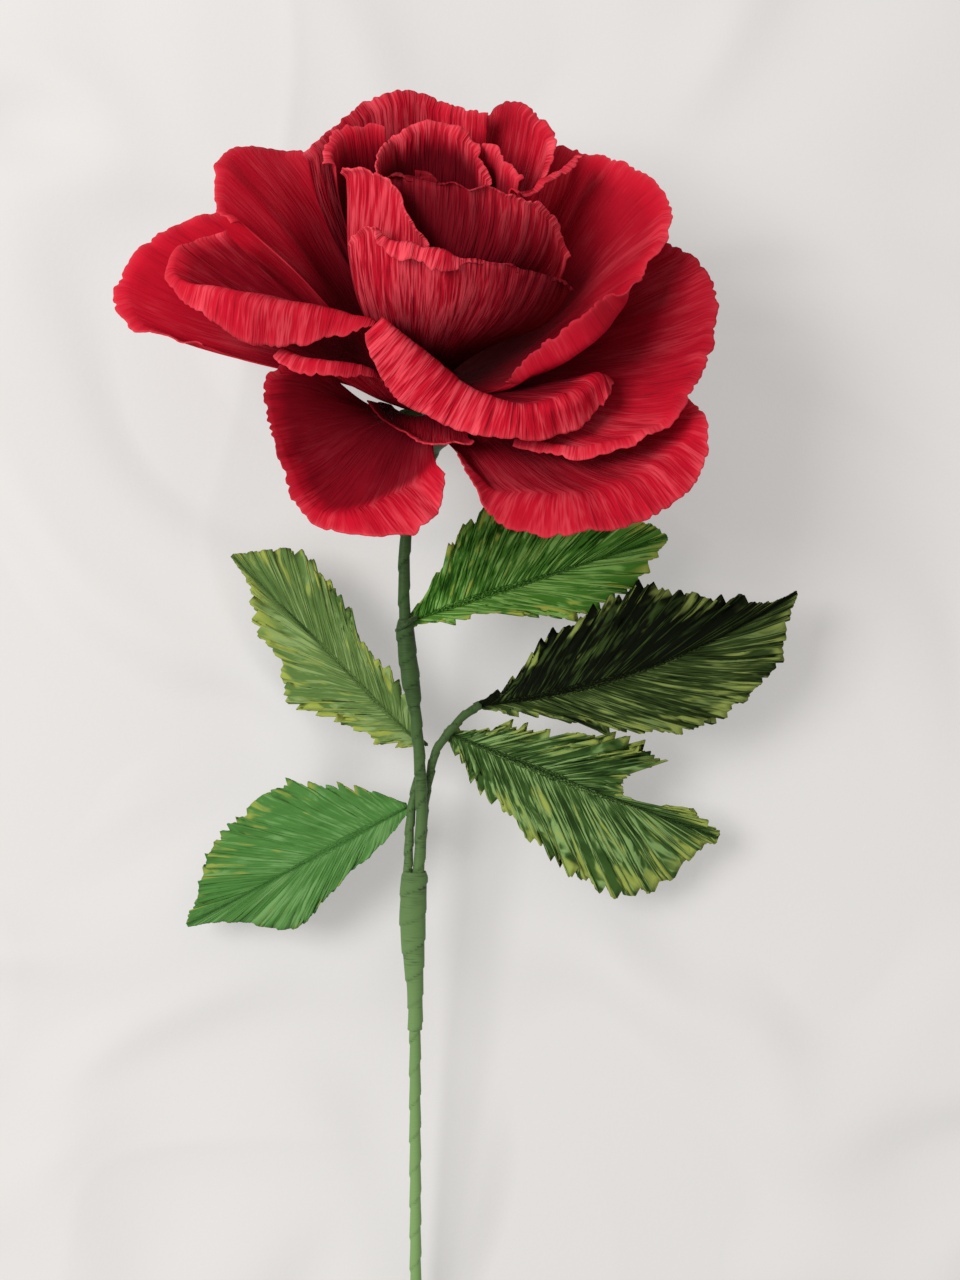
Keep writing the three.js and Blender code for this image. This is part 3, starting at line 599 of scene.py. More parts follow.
def crepe_group():
    """Crinkled paper: fine ribs along the grain with painted shade in the valleys and a painted highlight on
    the crests, a paler cut edge that is partly a painted highlight, and painted shade deep in the flower.
    """
    colour, number = "NodeSocketColor", "NodeSocketFloat"
    tree, given, made = group(
        "Crepe paper",
        [
            ("Vector", "NodeSocketVector", (0, 0, 0)),
            ("Paper", colour, (0.5, 0.01, 0.02, 1)),
            ("Valley", colour, (0.2, 0.0, 0.01, 1)),
            ("Crest", colour, (0.7, 0.03, 0.05, 1)),
            ("Heart", colour, (0.1, 0.0, 0.01, 1)),
            ("Rib", number, 0.5),
            ("Edge", number, 0.0),
            ("Depth", number, 0.0),
            ("Crinkle", number, 0.5),
        ],
        [("Colour", colour), ("Height", number), ("Roughness", number)],
    )
    place, crinkle = given.outputs["Vector"], given.outputs["Crinkle"]
    fine = crests(tree, streaks(tree, place, 0.8, 13))
    broad = crests(tree, streaks(tree, place, 2.4, 26))
    cloud = streaks(tree, place, 16, 24)
    ribs = sum_of(tree, [(given.outputs["Rib"], 0.5), (fine, 0.45), (broad, 0.3)], -0.1)
    ribbed = times(tree, ribs, crinkle)
    tone = sum_of(tree, [(ribbed, 2.2), (fine, 0.12), (cloud, 0.9), (crinkle, -1.42)], -0.06)
    # Low tone takes the painted shade of the valleys, high tone and the cut edge the painted highlight of the
    # crests
    shade = blend(tree, ramp(tree, tone, 0.0, 0.45), given.outputs["Valley"], given.outputs["Paper"])
    lifted = sum_of(tree, [(ramp(tree, tone, 0.45, 1.0), 0.8), (given.outputs["Edge"], 0.4)])
    lit = blend(tree, lifted, shade, given.outputs["Crest"])
    # Painted shade deep inside the flower draws the colour towards the heart's
    tree.links.new(blend(tree, given.outputs["Depth"], lit, given.outputs["Heart"]), made.inputs["Colour"])
    relief = times(tree, sum_of(tree, [(fine, 0.6), (broad, 0.45)]), sum_of(tree, [(crinkle, 0.85)], 0.15))
    tree.links.new(relief, made.inputs["Height"])
    tree.links.new(sum_of(tree, [(fine, 0.2), (cloud, 0.2)], 0.48), made.inputs["Roughness"])
    return tree


def strand_group():
    """Painted leaf paper: slanting strands of several greens, a dark midrib and yellowed ends."""
    colour, number = "NodeSocketColor", "NodeSocketFloat"
    tree, given, made = group(
        "Leaf strands",
        [
            ("Vector", "NodeSocketVector", (0, 0, 0)),
            ("Leaf", colour, (0.1, 0.2, 0.05, 1)),
            ("Deep", colour, (0.02, 0.05, 0.01, 1)),
            ("Pale", colour, (0.18, 0.3, 0.08, 1)),
            ("Yellow", colour, (0.3, 0.35, 0.06, 1)),
            ("Strand", number, 0.5),
            ("Rib", number, 0.5),
            ("Edge", number, 0.0),
            ("Midrib", number, 0.0),
            ("Yellowing", number, 0.3),
            ("Darkness", number, 0.3),
            ("Contrast", number, 1.0),
        ],
        [("Colour", colour), ("Height", number), ("Roughness", number)],
    )
    place = given.outputs["Vector"]
    fine = crests(tree, streaks(tree, place, 0.45, 6))
    fibre = streaks(tree, place, 0.55, 9)
    patch = streaks(tree, place, 8, 10)
    blot = streaks(tree, place, 0.9, 7)
    rib, strand, midrib = (given.outputs[title] for title in ("Rib", "Strand", "Midrib"))
    stroke = sum_of(tree, [(rib, 0.25), (fine, 0.5), (fibre, 2.4), (strand, 0.4)], -1.72)
    stroke = times(tree, stroke, given.outputs["Contrast"])
    tone = sum_of(tree, [(stroke, 1.0), (patch, 1.0), (given.outputs["Darkness"], -0.9), (midrib, -0.3)])
    body = blend(tree, ramp(tree, tone, 0.0, 0.45), given.outputs["Deep"], given.outputs["Leaf"])
    body = blend(tree, ramp(tree, tone, 0.5, 0.95), body, given.outputs["Pale"])
    aged = sum_of(
        tree,
        [(given.outputs["Edge"], 0.6), (blot, 2.4), (patch, 0.6), (strand, 0.4),
         (given.outputs["Yellowing"], 1.0), (midrib, -1.0)],
        -2.4,
    )
    body = blend(tree, ramp(tree, aged, 0.05, 0.5), body, given.outputs["Yellow"])
    tree.links.new(body, made.inputs["Colour"])
    tree.links.new(sum_of(tree, [(fine, 0.6), (fibre, 0.4)]), made.inputs["Height"])
    tree.links.new(sum_of(tree, [(fine, 0.3)], 0.45), made.inputs["Roughness"])
    return tree


def tape_group():
    """Waxed crepe tape: stretched wrinkles round the stem, a painted highlight on the raised overlap and
    painted shade in the step after it.
    """
    colour, number = "NodeSocketColor", "NodeSocketFloat"
    tree, given, made = group(
        "Stem tape",
        [
            ("Vector", "NodeSocketVector", (0, 0, 0)),
            ("Tape", colour, (0.04, 0.08, 0.02, 1)),
            ("Faded", colour, (0.2, 0.3, 0.1, 1)),
            ("Deep", colour, (0.012, 0.03, 0.008, 1)),
            ("Overlap", number, 0.0),
            ("Seam", number, 0.0),
            ("Fading", number, 0.5),
        ],
        [("Colour", colour), ("Height", number), ("Roughness", number)],
    )
    place = given.outputs["Vector"]
    fine = streaks(tree, place, 3.0, 0.5)
    cloud = streaks(tree, place, 6, 14)
    tape = blend(tree, given.outputs["Fading"], given.outputs["Tape"], given.outputs["Faded"])
    # Random tone of the wrinkles, with the painted highlight on the overlap, the painted shade at the seam
    # and the fading at the foot
    tone = sum_of(
        tree,
        [(fine, 0.9), (cloud, 0.9), (given.outputs["Overlap"], 0.35), (given.outputs["Seam"], -0.3),
         (given.outputs["Fading"], 0.25)],
        -0.4,
    )
    shade = blend(tree, ramp(tree, tone, 0.0, 0.6), given.outputs["Deep"], tape)
    tree.links.new(shade, made.inputs["Colour"])
    tree.links.new(sum_of(tree, [(fine, 1.0)]), made.inputs["Height"])
    tree.links.new(sum_of(tree, [(fine, 0.3), (cloud, 0.1)], 0.3), made.inputs["Roughness"])
    return tree


def shared(name, build):
    """The shader group of that name, built the first time it is wanted."""
    return bpy.data.node_groups.get(name) or build()


def finish_of(name, tree, values, marks, bump, sheen=0.0, gloss=0.1):
    """A material round a shader group.

    values sets the group's inputs, marks names the attributes that feed the others, and bump is the height
    of its relief in metres.
    """
    material = bpy.data.materials.new(name)
    material.use_nodes = True
    nodes, links = material.node_tree.nodes, material.node_tree.links
    surface = nodes["Principled BSDF"]
    surface.inputs["Specular IOR Level"].default_value = gloss
    surface.inputs["Sheen Weight"].default_value = sheen
    surface.inputs["Sheen Roughness"].default_value = 0.45
    pattern = nodes.new("ShaderNodeGroup")
    pattern.node_tree = tree
    paper_map = nodes.new("ShaderNodeUVMap")
    paper_map.uv_map = PAPER_MAP
    links.new(paper_map.outputs["UV"], pattern.inputs["Vector"])
    for title, value in values.items():
        value = (*value, 1) if hasattr(value, "__len__") else value
        pattern.inputs[title].default_value = value
    for title, mark in marks.items():
        reader = nodes.new("ShaderNodeAttribute")
        reader.attribute_name = mark
        links.new(reader.outputs["Fac"], pattern.inputs[title])
    relief = nodes.new("ShaderNodeBump")
    relief.inputs["Strength"].default_value = 1.0
    relief.inputs["Distance"].default_value = bump
    links.new(pattern.outputs["Height"], relief.inputs["Height"])
    links.new(pattern.outputs["Colour"], surface.inputs["Base Color"])
    links.new(relief.outputs["Normal"], surface.inputs["Normal"])
    links.new(pattern.outputs["Roughness"], surface.inputs["Roughness"])
    return material


def petal_finish(settings):
    """The red crepe, made the first time it is wanted."""
    made = bpy.data.materials.get("Red crepe")
    if made:
        return made
    values = {title: getattr(settings, title.lower()) for title in ("Paper", "Valley", "Crest", "Heart")}
    marks = {title: title.lower() for title in ("Rib", "Edge", "Depth", "Crinkle")}
    tree = shared("Crepe paper", crepe_group)
    return finish_of("Red crepe", tree, values, marks, PETAL_RELIEF, gloss=PETAL_GLOSS)


def tape_finish(settings):
    """The green tape, made the first time it is wanted."""
    made = bpy.data.materials.get("Green tape")
    if made:
        return made
    # The darkest tone, for dark wrinkles and the painted shade at the seam
    deep = [channel * 0.4 for channel in settings.tape]
    values = {"Tape": settings.tape, "Faded": settings.faded, "Deep": deep}
    marks = {"Overlap": "rib", "Seam": "seam", "Fading": "fading"}
    return finish_of("Green tape", shared("Stem tape", tape_group), values, marks, TAPE_RELIEF, sheen=0.1)


def steel_finish():
    """Drawn steel wire, with fine lines along it."""
    material = bpy.data.materials.new("Drawn wire")
    material.use_nodes = True
    nodes, links = material.node_tree.nodes, material.node_tree.links
    surface = nodes["Principled BSDF"]
    surface.inputs["Metallic"].default_value = 0.95
    place = nodes.new("ShaderNodeTexCoord")
    stretch = nodes.new("ShaderNodeMapping")
    stretch.inputs["Scale"].default_value = (4000, 300, 4000)
    noise = nodes.new("ShaderNodeTexNoise")
    noise.inputs["Scale"].default_value = 1.0
    tone = nodes.new("ShaderNodeMix")
    tone.data_type = "RGBA"
    tone.inputs["A"].default_value = (0.22, 0.23, 0.23, 1)
    tone.inputs["B"].default_value = (0.5, 0.51, 0.52, 1)
    links.new(place.outputs["Object"], stretch.inputs["Vector"])
    links.new(stretch.outputs["Vector"], noise.inputs["Vector"])
    links.new(noise.outputs["Fac"], tone.inputs["Factor"])
    links.new(tone.outputs["Result"], surface.inputs["Base Color"])
    links.new(ramp(material.node_tree, noise.outputs["Fac"], -0.6, 1.6), surface.inputs["Roughness"])
    return material


# Paint of each leaf: its four colours, how yellowed and how dark its left and right halves are, the contrast
# and height of its strands, and how toothed its left and right halves are
LEAF_PAINT = {
    "upper_right": {
        "leaf": (0.055, 0.17, 0.02), "deep": (0.009, 0.04, 0.003),
        "pale": (0.2, 0.38, 0.09), "yellow": (0.3, 0.36, 0.06),
        "yellowing": (0.4, 0.4), "darkness": (0.45, 0.1), "contrast": 1.3, "toothed": (1, 1),
    },
    "upper_left": {
        "leaf": (0.09, 0.16, 0.04), "deep": (0.025, 0.055, 0.01),
        "pale": (0.2, 0.29, 0.1), "yellow": (0.27, 0.32, 0.06),
        "yellowing": (0.55, 0.3), "darkness": (0.05, 0.15), "contrast": 0.85, "toothed": (0.9, 0.6),
    },
    "lower_left": {
        "leaf": (0.06, 0.17, 0.036), "deep": (0.022, 0.075, 0.014),
        "pale": (0.13, 0.27, 0.085), "yellow": (0.22, 0.27, 0.05),
        "yellowing": (0.05, 0.3), "darkness": (-0.05, 0.12), "contrast": 0.6, "toothed": (0.25, 0.8),
    },
    "lower_right": {
        "leaf": (0.026, 0.045, 0.01), "deep": (0.003, 0.0045, 0.0015),
        "pale": (0.12, 0.17, 0.05), "yellow": (0.2, 0.25, 0.06),
        "yellowing": (0.2, 0.4), "darkness": (0.8, 0.33), "contrast": 1.0, "toothed": (1, 1),
    },
    "bitten": {
        "leaf": (0.038, 0.085, 0.018), "deep": (0.008, 0.019, 0.004),
        "pale": (0.19, 0.3, 0.1), "yellow": (0.27, 0.33, 0.07),
        "yellowing": (0.5, 0.4), "darkness": (0.35, 0.22), "contrast": 1.2, "toothed": (1, 1),
    },
}


# Petals

# Mesh of a petal: width of a column of faces, rows from root to fold and height of a row in the lip
COLUMN_WIDTH, BODY_ROWS, LIP_ROW = 0.36, 32, 0.9
FEWEST_COLUMNS, FEWEST_LIP_ROWS = 24, 3

# How far a petal keeps the lean of its root and of its fold, as shares of the way between them
ROOT_PULL, FOLD_PULL = 0.42, 0.38

# The narrowest lip in millimetres and its slightest turn in degrees, and the step for the fold's direction
NARROWEST_LIP, SLIGHTEST_TURN, NEARBY = 0.6, 0.5, 0.3

# In millimetres: how far the ribs of a petal drift sideways, the height of its dents and of its long creases,
# how far in from the rim it frills and looks cut, and how far apart petals are laid on the paper map
RIB_DRIFT, DENT_HEIGHT, CREASE_HEIGHT = 1.6, 1.3, 0.9
FRILL_REACH, CUT_REACH, PETAL_SPACE = 6, 0.9, 170


def cubic(start, first, second, end, share):
    """Points along the Bezier curve of each column of a sheet."""
    share = share[None, :, None]
    rest = 1 - share
    start, first, second, end = (place[:, None] for place in (start, first, second, end))
    return rest**3 * start + 3 * rest**2 * share * first + 3 * rest * share**2 * second + share**3 * end


def lip_band(fold, out, under, turn, lip, share):
    """The lip of a petal: it turns in the first part of its width and runs on straight."""
    lip = lip[:, None]
    bend = turn[:, None] / (FOLD_SHARE * lip)
    arc = bend * np.minimum(share, FOLD_SHARE) * lip
    flat = np.maximum(share - FOLD_SHARE, 0) * lip
    outwards = np.sin(arc) / bend + np.cos(arc) * flat
    downwards = (1 - np.cos(arc)) / bend + np.sin(arc) * flat
    return fold[:, None] + out[:, None] * outwards[..., None] + under[:, None] * downwards[..., None]


def plain_petal(name, seed, rag):
    """A petal before it is crinkled: its points, and the place across and width of lip of each column."""
    at, ring, foot, spread, root_lean, rim = PETALS[name]
    rim = np.array(rim, float)
    places = polar(np.radians(rim[:, 0]), rim[:, 1], rim[:, 2])
    knots = lengths(places)
    width = knots[-1]
    table = np.concatenate([places, rim[:, 3:6]], 1)
    lip_rows = max(FEWEST_LIP_ROWS, round(rim[:, 4].max() / LIP_ROW))
    s = np.linspace(0, width, max(FEWEST_COLUMNS, round(width / COLUMN_WIDTH)) + 1)
    v = np.concatenate([np.linspace(0, 1, BODY_ROWS + 1), 1 + np.linspace(0, 1, lip_rows + 1)[1:]])

    # The fold line, and the way it runs
    row = through(knots, table, s)
    fold, lean, lip = row[:, :3], np.radians(row[:, 3]), np.maximum(row[:, 4], NARROWEST_LIP)
    turn = np.radians(np.where(np.abs(row[:, 5]) < SLIGHTEST_TURN, SLIGHTEST_TURN, row[:, 5]))
    ahead = through(knots, table, np.minimum(s + NEARBY, width))
    back = through(knots, table, np.maximum(s - NEARBY, 0))
    tangent = unit((ahead - back)[:, :3])

    # The cup, from a ring round the heart to the fold
    rooted = np.radians(at) + (2 * s / width - 1) * np.radians(spread)
    root = polar(rooted, ring, foot)
    leave = polar(rooted, math.sin(math.radians(root_lean)), math.cos(math.radians(root_lean)))
    arrive = polar(np.arctan2(fold[:, 1], fold[:, 0]), np.sin(lean), np.cos(lean))
    reach = np.linalg.norm(fold - root, axis=-1, keepdims=True)
    first, second = root + leave * reach * ROOT_PULL, fold - arrive * reach * FOLD_PULL
    body = cubic(root, first, second, fold, np.minimum(v, 1))

    # The lip, with its torn edge
    out = unit(arrive - np.sum(arrive * tangent, -1, keepdims=True) * tangent)
    torn = rag * (0.7 * wander(s / 2.8, 0.5, seed) ** 2 + 0.6 * wander(s / 0.8, 5.5, seed) ** 2)
    trimmed = 1 - np.clip(torn / np.maximum(lip, 2), 0, 0.7)
    share = np.clip(v[None] - 1, 0, 1) * trimmed[:, None]
    band = lip_band(fold, out, np.cross(tangent, out), turn, lip, share)
    return np.where(v[None, :, None] <= 1, body, band), s, lip


def petal_grid(name, seed, settings):
    """Points, place on the flat paper and marks of one petal."""
    points, s, lip = plain_petal(name, seed, settings.rag / MM)
    crinkle, within, deepest, side = PETAL_CRINKLE_AND_SHADE.get(name, PLAIN_PETAL)
    width, column = s[-1], s[-1] / (len(s) - 1)
    grain = lengths(points.transpose(1, 0, 2)).T
    ribs_at = np.repeat(s[:, None], points.shape[1], 1)
    to_rim = np.clip(grain[:, -1:] - grain, 0, None)
    near_rim = np.exp(-to_rim / FRILL_REACH)
    gather = np.clip(np.linalg.norm(np.gradient(points, axis=0), axis=-1) / column, 0, 1)

    # Ribs that drift sideways, the frill of the rim, and the dents and long creases of handled paper
    ribs = (ribs_at + RIB_DRIFT * wander(ribs_at / 9, grain / 12, seed + 3)) / (settings.rib_spacing / MM)
    rib = 0.65 * ridge(ribs, grain / 13, seed) + 0.35 * ridge(ribs * 0.57, grain / 19, seed + 1)
    ribbed = settings.rib_height / MM * (rib - 0.5) * gather * crinkle * (0.75 + 0.5 * near_rim)
    frilled = settings.frill / MM * (wander(ribs_at / 3.6, grain / 25, seed + 5) - 0.5)
    frilled = frilled * 2 * near_rim * gather
    dented = DENT_HEIGHT * (wander(ribs_at / 11, grain / 15, seed + 7) - 0.5)
    dented = dented * gather * np.clip(grain / 15, 0, 1)
    creased = CREASE_HEIGHT * (wander(ribs_at / 5, grain / 50, seed + 9) - 0.5) * gather
    points = points + normals(points) * (ribbed + frilled + dented + creased)[..., None]

    # Painted shade deep inside the flower, past the fold and on the shaded side; the paler cut edge, which is
    # partly a painted highlight, fades on the shaded side
    inside = smooth((to_rim - 2) / deepest)
    past_fold = smooth((to_rim - lip[:, None] + 0.5) / 4)
    across = ribs_at / width if side > 0 else 1 - ribs_at / width
    shaded = abs(side) * smooth((across - 0.3) / 0.45)
    chart = np.stack([ribs_at + PETAL_SPACE * (seed % 7), grain], -1)
    marks = {
        "rib": rib,
        "edge": np.exp(-to_rim / CUT_REACH) * (1 - shaded),
        "depth": 1 - (1 - inside) * (1 - within * past_fold) * (1 - shaded),
        "crinkle": np.full_like(rib, crinkle),
    }
    return from_flower(points), chart, marks


class ROSE_OT_petals(bpy.types.Operator):
    """Make the petals, each a cupped sheet of crepe with a rolled lip"""

    bl_idname = "rose.petals"
    bl_label = "Petals"

    def execute(self, context):
        settings = context.scene.rose_petals
        finish = petal_finish(settings)
        for seed, name in enumerate(PETALS):
            points, chart, marks = petal_grid(name, seed, settings)
            node = "petal_" + name
            lay("crepe_" + node, points, chart, marks, finish, [node], settings.thickness)
        return {"FINISHED"}


class ROSE_OT_heart(bpy.types.Operator):
    """Make the rolled strip in the heart of the flower"""

    bl_idname = "rose.heart"
    bl_label = "Heart"

    def execute(self, context):
        settings = context.scene.rose_petals
        turn = np.linspace(0, ROLL_TURNS, ROLL_COLUMNS + 1)[:, None]
        v = np.linspace(0, 1, ROLL_ROWS + 1)[None]
        width = 2 * np.pi * ROLL_MEAN * turn
        grain = (ROLL_HIGH - ROLL_LOW) * v * np.ones_like(turn)
        rim = np.exp(-(1 - v) * 9)
        rib = wander(width / 1.1, grain / 9, 31)
        radius = (ROLL_FIRST + ROLL_PITCH * turn) * (0.8 + ROLL_FLARE * v)
        radius = radius + 0.22 * (rib - 0.5) + 0.5 * rim * (wander(width / 4, 0, 33) - 0.5)
        height = ROLL_LOW + grain - rim * 3.0 * wander(width / 3, 2, 35)
        points = from_flower(polar(2 * np.pi * turn, radius, height))
        chart = np.stack([width * np.ones_like(v), grain], -1)
        # The roll lies deep in the flower and takes most of the painted shade, with a paler edge at its top
        marks = {
            "rib": rib,
            "edge": 0.3 * rim * np.ones_like(turn),
            "depth": np.full_like(grain, 0.8),
            "crinkle": np.full_like(grain, 0.7),
        }
        finish, node = petal_finish(settings), "centre_roll"
        lay("crepe_" + node, points, chart, marks, finish, [node], settings.thickness)
        return {"FINISHED"}


# Leaves

# Mesh of a leaf: rows of faces to a strand and edges across the whole leaf
ROWS_TO_STRAND, LEAF_EDGES = 5, 33

# In millimetres: from one tooth of a leaf's edge to the next, how high the ends of strands lift and the leaf
# waves, how deep the groove along its midrib is, and how far apart leaves are laid on the paper map
TOOTH_SPACING, END_LIFT, WAVE_HEIGHT, GROOVE_DEPTH, LEAF_SPACE = 4.2, 1.6, 1.8, 0.3, 130


def leaf_reach(name, side, slanted, length, strand, seed, settings):
    """How far the strands reach from the midrib, and how full the leaf is there from 0 to 1."""
    rows = np.array(LEAVES[name][-1], float)
    halves = through(rows[:, 0], rows[:, 1:], np.clip(slanted, 0, 1))
    reach = np.where(side > 0, halves[..., 0], halves[..., 1])
    full = np.clip(reach / 6, 0, 1)
    tooth = np.mod(slanted * length / TOOTH_SPACING + 1.8 * wander(slanted * 7, side, seed), 1)
    tooth = 2 * tooth * wander(slanted * 11, side * 3, seed + 9)
    uneven = wander(strand * 1.7, side * 5, seed + 2)
    ragged = full * np.where(side > 0, *LEAF_PAINT[name]["toothed"])
    cut = settings.tooth / MM * (tooth - 0.6) - settings.fray / MM * uneven
    return np.maximum(reach + ragged * cut, 0.4), full


def leaf_grid(name, seed, settings):
    """Points, place on the flat paper and marks of a leaf made of strands that slant from its midrib."""
    base, tip, bow, arch, fall, _, _ = LEAVES[name]
    paint = LEAF_PAINT[name]
    base, tip = np.array(base, float), np.array(tip, float)
    base = base - unit(tip - base) * settings.neck / MM
    run = tip - base
    length = np.linalg.norm(run)
    left = unit(np.array([-run[1], run[0], 0.0]))
    strands = round(length / (settings.strand_spacing / MM))
    v = np.linspace(0, 1, strands * ROWS_TO_STRAND + 1)[None]
    share = np.linspace(-1, 1, LEAF_EDGES)[:, None]
    side, w = np.sign(share), np.abs(share)
    slanted = 1 - (1 - v) ** settings.slant
    number = v * strands + 1.4 * (wander(v * strands / 4, w * 2.5, seed + 8) - 0.5) * w
    strand = np.floor(number)
    tone = hashed(strand, side * 3, seed)
    reach, full = leaf_reach(name, side, slanted, length, strand, seed, settings)

    # Each strand slants from its place on the midrib towards the tip
    along = v + (slanted - v) * w
    across = side * reach * w
    if name == "bitten":
        along, across = bitten_off(base, run, left, along, across, w)
    hump = 4 * along * (1 - along)
    points = base + run * along[..., None] + left * (bow * hump + across)[..., None]

    # Rounded strands of uneven height, lifted ends, slow waves and a groove along the midrib
    off_rib = np.clip(np.abs(across) / 5, 0, 1)
    crest = np.abs(np.sin(np.pi * number)) ** 0.7
    tall = settings.strand_height / MM * (0.2 + 0.8 * tone) * off_rib * paint["contrast"]
    tall = tall * (0.4 + 1.2 * wander(along * length / 9, across / 5, seed + 7))
    lift = (hashed(strand, side * 7, seed + 4) - 0.45) * END_LIFT * w**3
    wave = WAVE_HEIGHT * (wander(along * length / 14, across / 14 + 9, seed + 6) - 0.5)
    groove = GROOVE_DEPTH * np.exp(-((np.abs(across) / 0.8) ** 2))
    points[..., 2] += arch * hump - fall * np.abs(across)
    points[..., 2] += ((crest - 0.5) * tall + lift + wave) * full - groove

    flat_across = np.abs(across) * 1.3 + 40 * side * np.ones_like(v)
    chart = np.stack([number * settings.strand_spacing / MM + LEAF_SPACE * seed, flat_across], -1)
    to_left = smooth(across / 1.5 + 0.5)
    marks = {
        "rib": crest * off_rib + 0.6 * (1 - off_rib),
        "strand": (tone - 0.5) * off_rib + 0.5,
        "edge": np.clip(w**2.5 + np.clip(v * 6 - 5, 0, 1), 0, 1) * np.ones_like(along),
        "midrib": np.exp(-((np.abs(across) / 0.45) ** 2)),
    }
    for mark in ("yellowing", "darkness"):
        on_left, on_right = paint[mark]
        marks[mark] = on_right + (on_left - on_right) * to_left
    return points, chart, marks


def bitten_off(base, run, left, along, across, w):
    """Ends each strand where it meets the bite out of the leaf's left half."""
    spots = base + run * along[..., None] + left * across[..., None]
    inside = sum(((spots[..., k] - BITE_AT[k]) / BITE_REACH[k]) ** 2 for k in range(2)) < 1
    inside &= across > 0
    last = len(w) - 1
    middle = len(w) // 2
    first = np.where(inside.any(0), inside.argmax(0), last)
    kept = np.clip((first - middle) / (last - middle), 0.05, 1)[None]
    place = np.arange(last + 1)[:, None]
    wanted = np.where(across > 0, middle + w * kept * middle, place)
    low = np.clip(np.floor(wanted).astype(int), 0, last - 1)
    part = wanted - low
    column = np.arange(along.shape[1])[None]
    return [values[low, column] * (1 - part) + values[low + 1, column] * part for values in (along, across)]


class ROSE_OT_leaves(bpy.types.Operator):
    """Make the five leaves of slanting crepe strands with toothed edges"""

    bl_idname = "rose.leaves"
    bl_label = "Leaves"

    def execute(self, context):
        settings = context.scene.rose_leaves
        tree = shared("Leaf strands", strand_group)
        titles = ("Rib", "Strand", "Edge", "Midrib", "Yellowing", "Darkness")
        read = {title: title.lower() for title in titles}
        for seed, (name, paint) in enumerate(LEAF_PAINT.items()):
            values = {title: paint[title.lower()] for title in ("Leaf", "Deep", "Pale", "Yellow", "Contrast")}
            finish = finish_of("Leaf paper " + name, tree, values, read, LEAF_RELIEF, gloss=LEAF_GLOSS)
            points, chart, marks = leaf_grid(name, seed, settings)
            piece, node = "fringed_leaf_" + name, "leaf_" + name
            lay(piece, points, chart, marks, finish, [node], settings.thickness)
        return {"FINISHED"}


# Stem

# Steps along a line before it is spaced evenly
FINE_STEPS = 2000

# How unevenly tape is wound, in turns, and how high its wrinkles are, as a share of its step
UNEVEN_TURNS, TAPE_WRINKLES = 0.15, 0.1


def finely(points):
    """The smooth line through a few points, in many small steps."""
    points = np.array(points, float)
    knots = lengths(points)
    return through(knots, points, np.linspace(0, knots[-1], FINE_STEPS))


def line_through(points, steps):
    """Evenly spaced points along a smooth line, with the directions to its side and up from it."""
    fine = finely(points)
    run = lengths(fine)
    even = np.linspace(0, run[-1], steps + 1)
    middle = np.stack([np.interp(even, run, fine[:, k]) for k in range(3)], -1)
    tangent = unit(np.gradient(middle, axis=0))
    side = unit(np.cross(tangent, [0.0, 0.0, 1.0]))
    return middle, side, np.cross(side, tangent), even


def whole_stem():
    """The stem's line with the wire's straight end inside the flower."""
    return [tuple(HEART + AXIS * WIRE_TOP), tuple(HEART), *STEM_LINE]


def cut_between(start, end):
    """The stretch of the stem between two places along the table's length."""
    fine = finely(whole_stem())
    return fine[(fine[:, 1] <= start) & (fine[:, 1] >= end)][::8]


def wound_tube(
    name, line, radius_of, settings, nodes, finish, slot, seed,
    sides=28, pitch=None, step=None, pace=0.5, wall=0.0,
):
    """A tube of tape wound in a spiral along a line.

    radius_of gives its half width, half height and shift to the side at each share of its length. pitch is
    how far a turn climbs, step is how far a turn stands over the last one, pace is the distance between
    rings, and a tube with a wall is left open at its ends.
    """
    rings = max(8, round(lengths(np.array(line, float))[-1] / pace))
    middle, side, rise, even = line_through(line, rings)
    wide, high, shift = radius_of(even / even[-1])
    pitch = pitch or settings.tape_width / MM
    step = settings.tape_step / MM if step is None else step
    turn = np.linspace(0, 1, sides + 1)[:, None]

    # How far through its width the tape is at each place: its edge stands proud where it starts again
    climb = np.mod(turn + even[None] / pitch + UNEVEN_TURNS * wander(even / 20, 0, seed)[None], 1)
    wrinkled = wander(turn * 9 % 9, even[None] / 1.3, seed + 1) - 0.5
    relief = step * (climb - 0.5) + TAPE_WRINKLES * step * wrinkled
    if not wall:
        closing = np.minimum(1, np.minimum(even, even[-1] - even) / (pace * 0.9))
        closing[[0, -1]] = 0
        relief, wide, high = relief * closing, wide * closing, high * closing
    angle = 2 * np.pi * turn
    x = np.cos(angle) * (wide[None] + relief) + shift[None]
    z = np.sin(angle) * (high[None] + relief)
    points = middle[None] + side[None] * x[..., None] + rise[None] * z[..., None]
    chart = np.stack([1.5 * angle + 0.2 * even[None], even[None] * np.ones_like(turn)], -1)
    # Painted highlight on the raised edge of each turn, painted shade in the step after it, and the tape's
    # fading towards the foot
    marks = {
        "rib": np.clip((climb - 0.7) / 0.3, 0, 1),
        "seam": np.exp(-climb / 0.1),
        "fading": smooth((FADING_STARTS - points[..., 1]) / FADING_REACH),
    }
    lay(name, points, chart, marks, finish, nodes, wall, closed=True)


def round_of(size):
    """A round section from its radius at each share of the length."""
    return size, size, np.zeros_like(size)


def constant(radius):
    """A round section of the same radius all along."""

    def section(share):
        return round_of(np.full_like(share, radius))

    return section


def lower_section(share):
    """Flat and wide at the top, where the side stalk lies beside the stem, and round at the foot."""
    ease = smooth((share - 0.25) / 0.65)
    mouth = 0.5 * (1 - np.minimum(share / 0.03, 1))
    return 3.15 - 1.45 * ease - mouth, 2.1 - 0.4 * ease, 1 - ease


def side_section(share):
    """Thinner at its foot, where it goes into the lower binding."""
    return round_of(1.12 - 0.3 * smooth((share - 0.7) / 0.2))


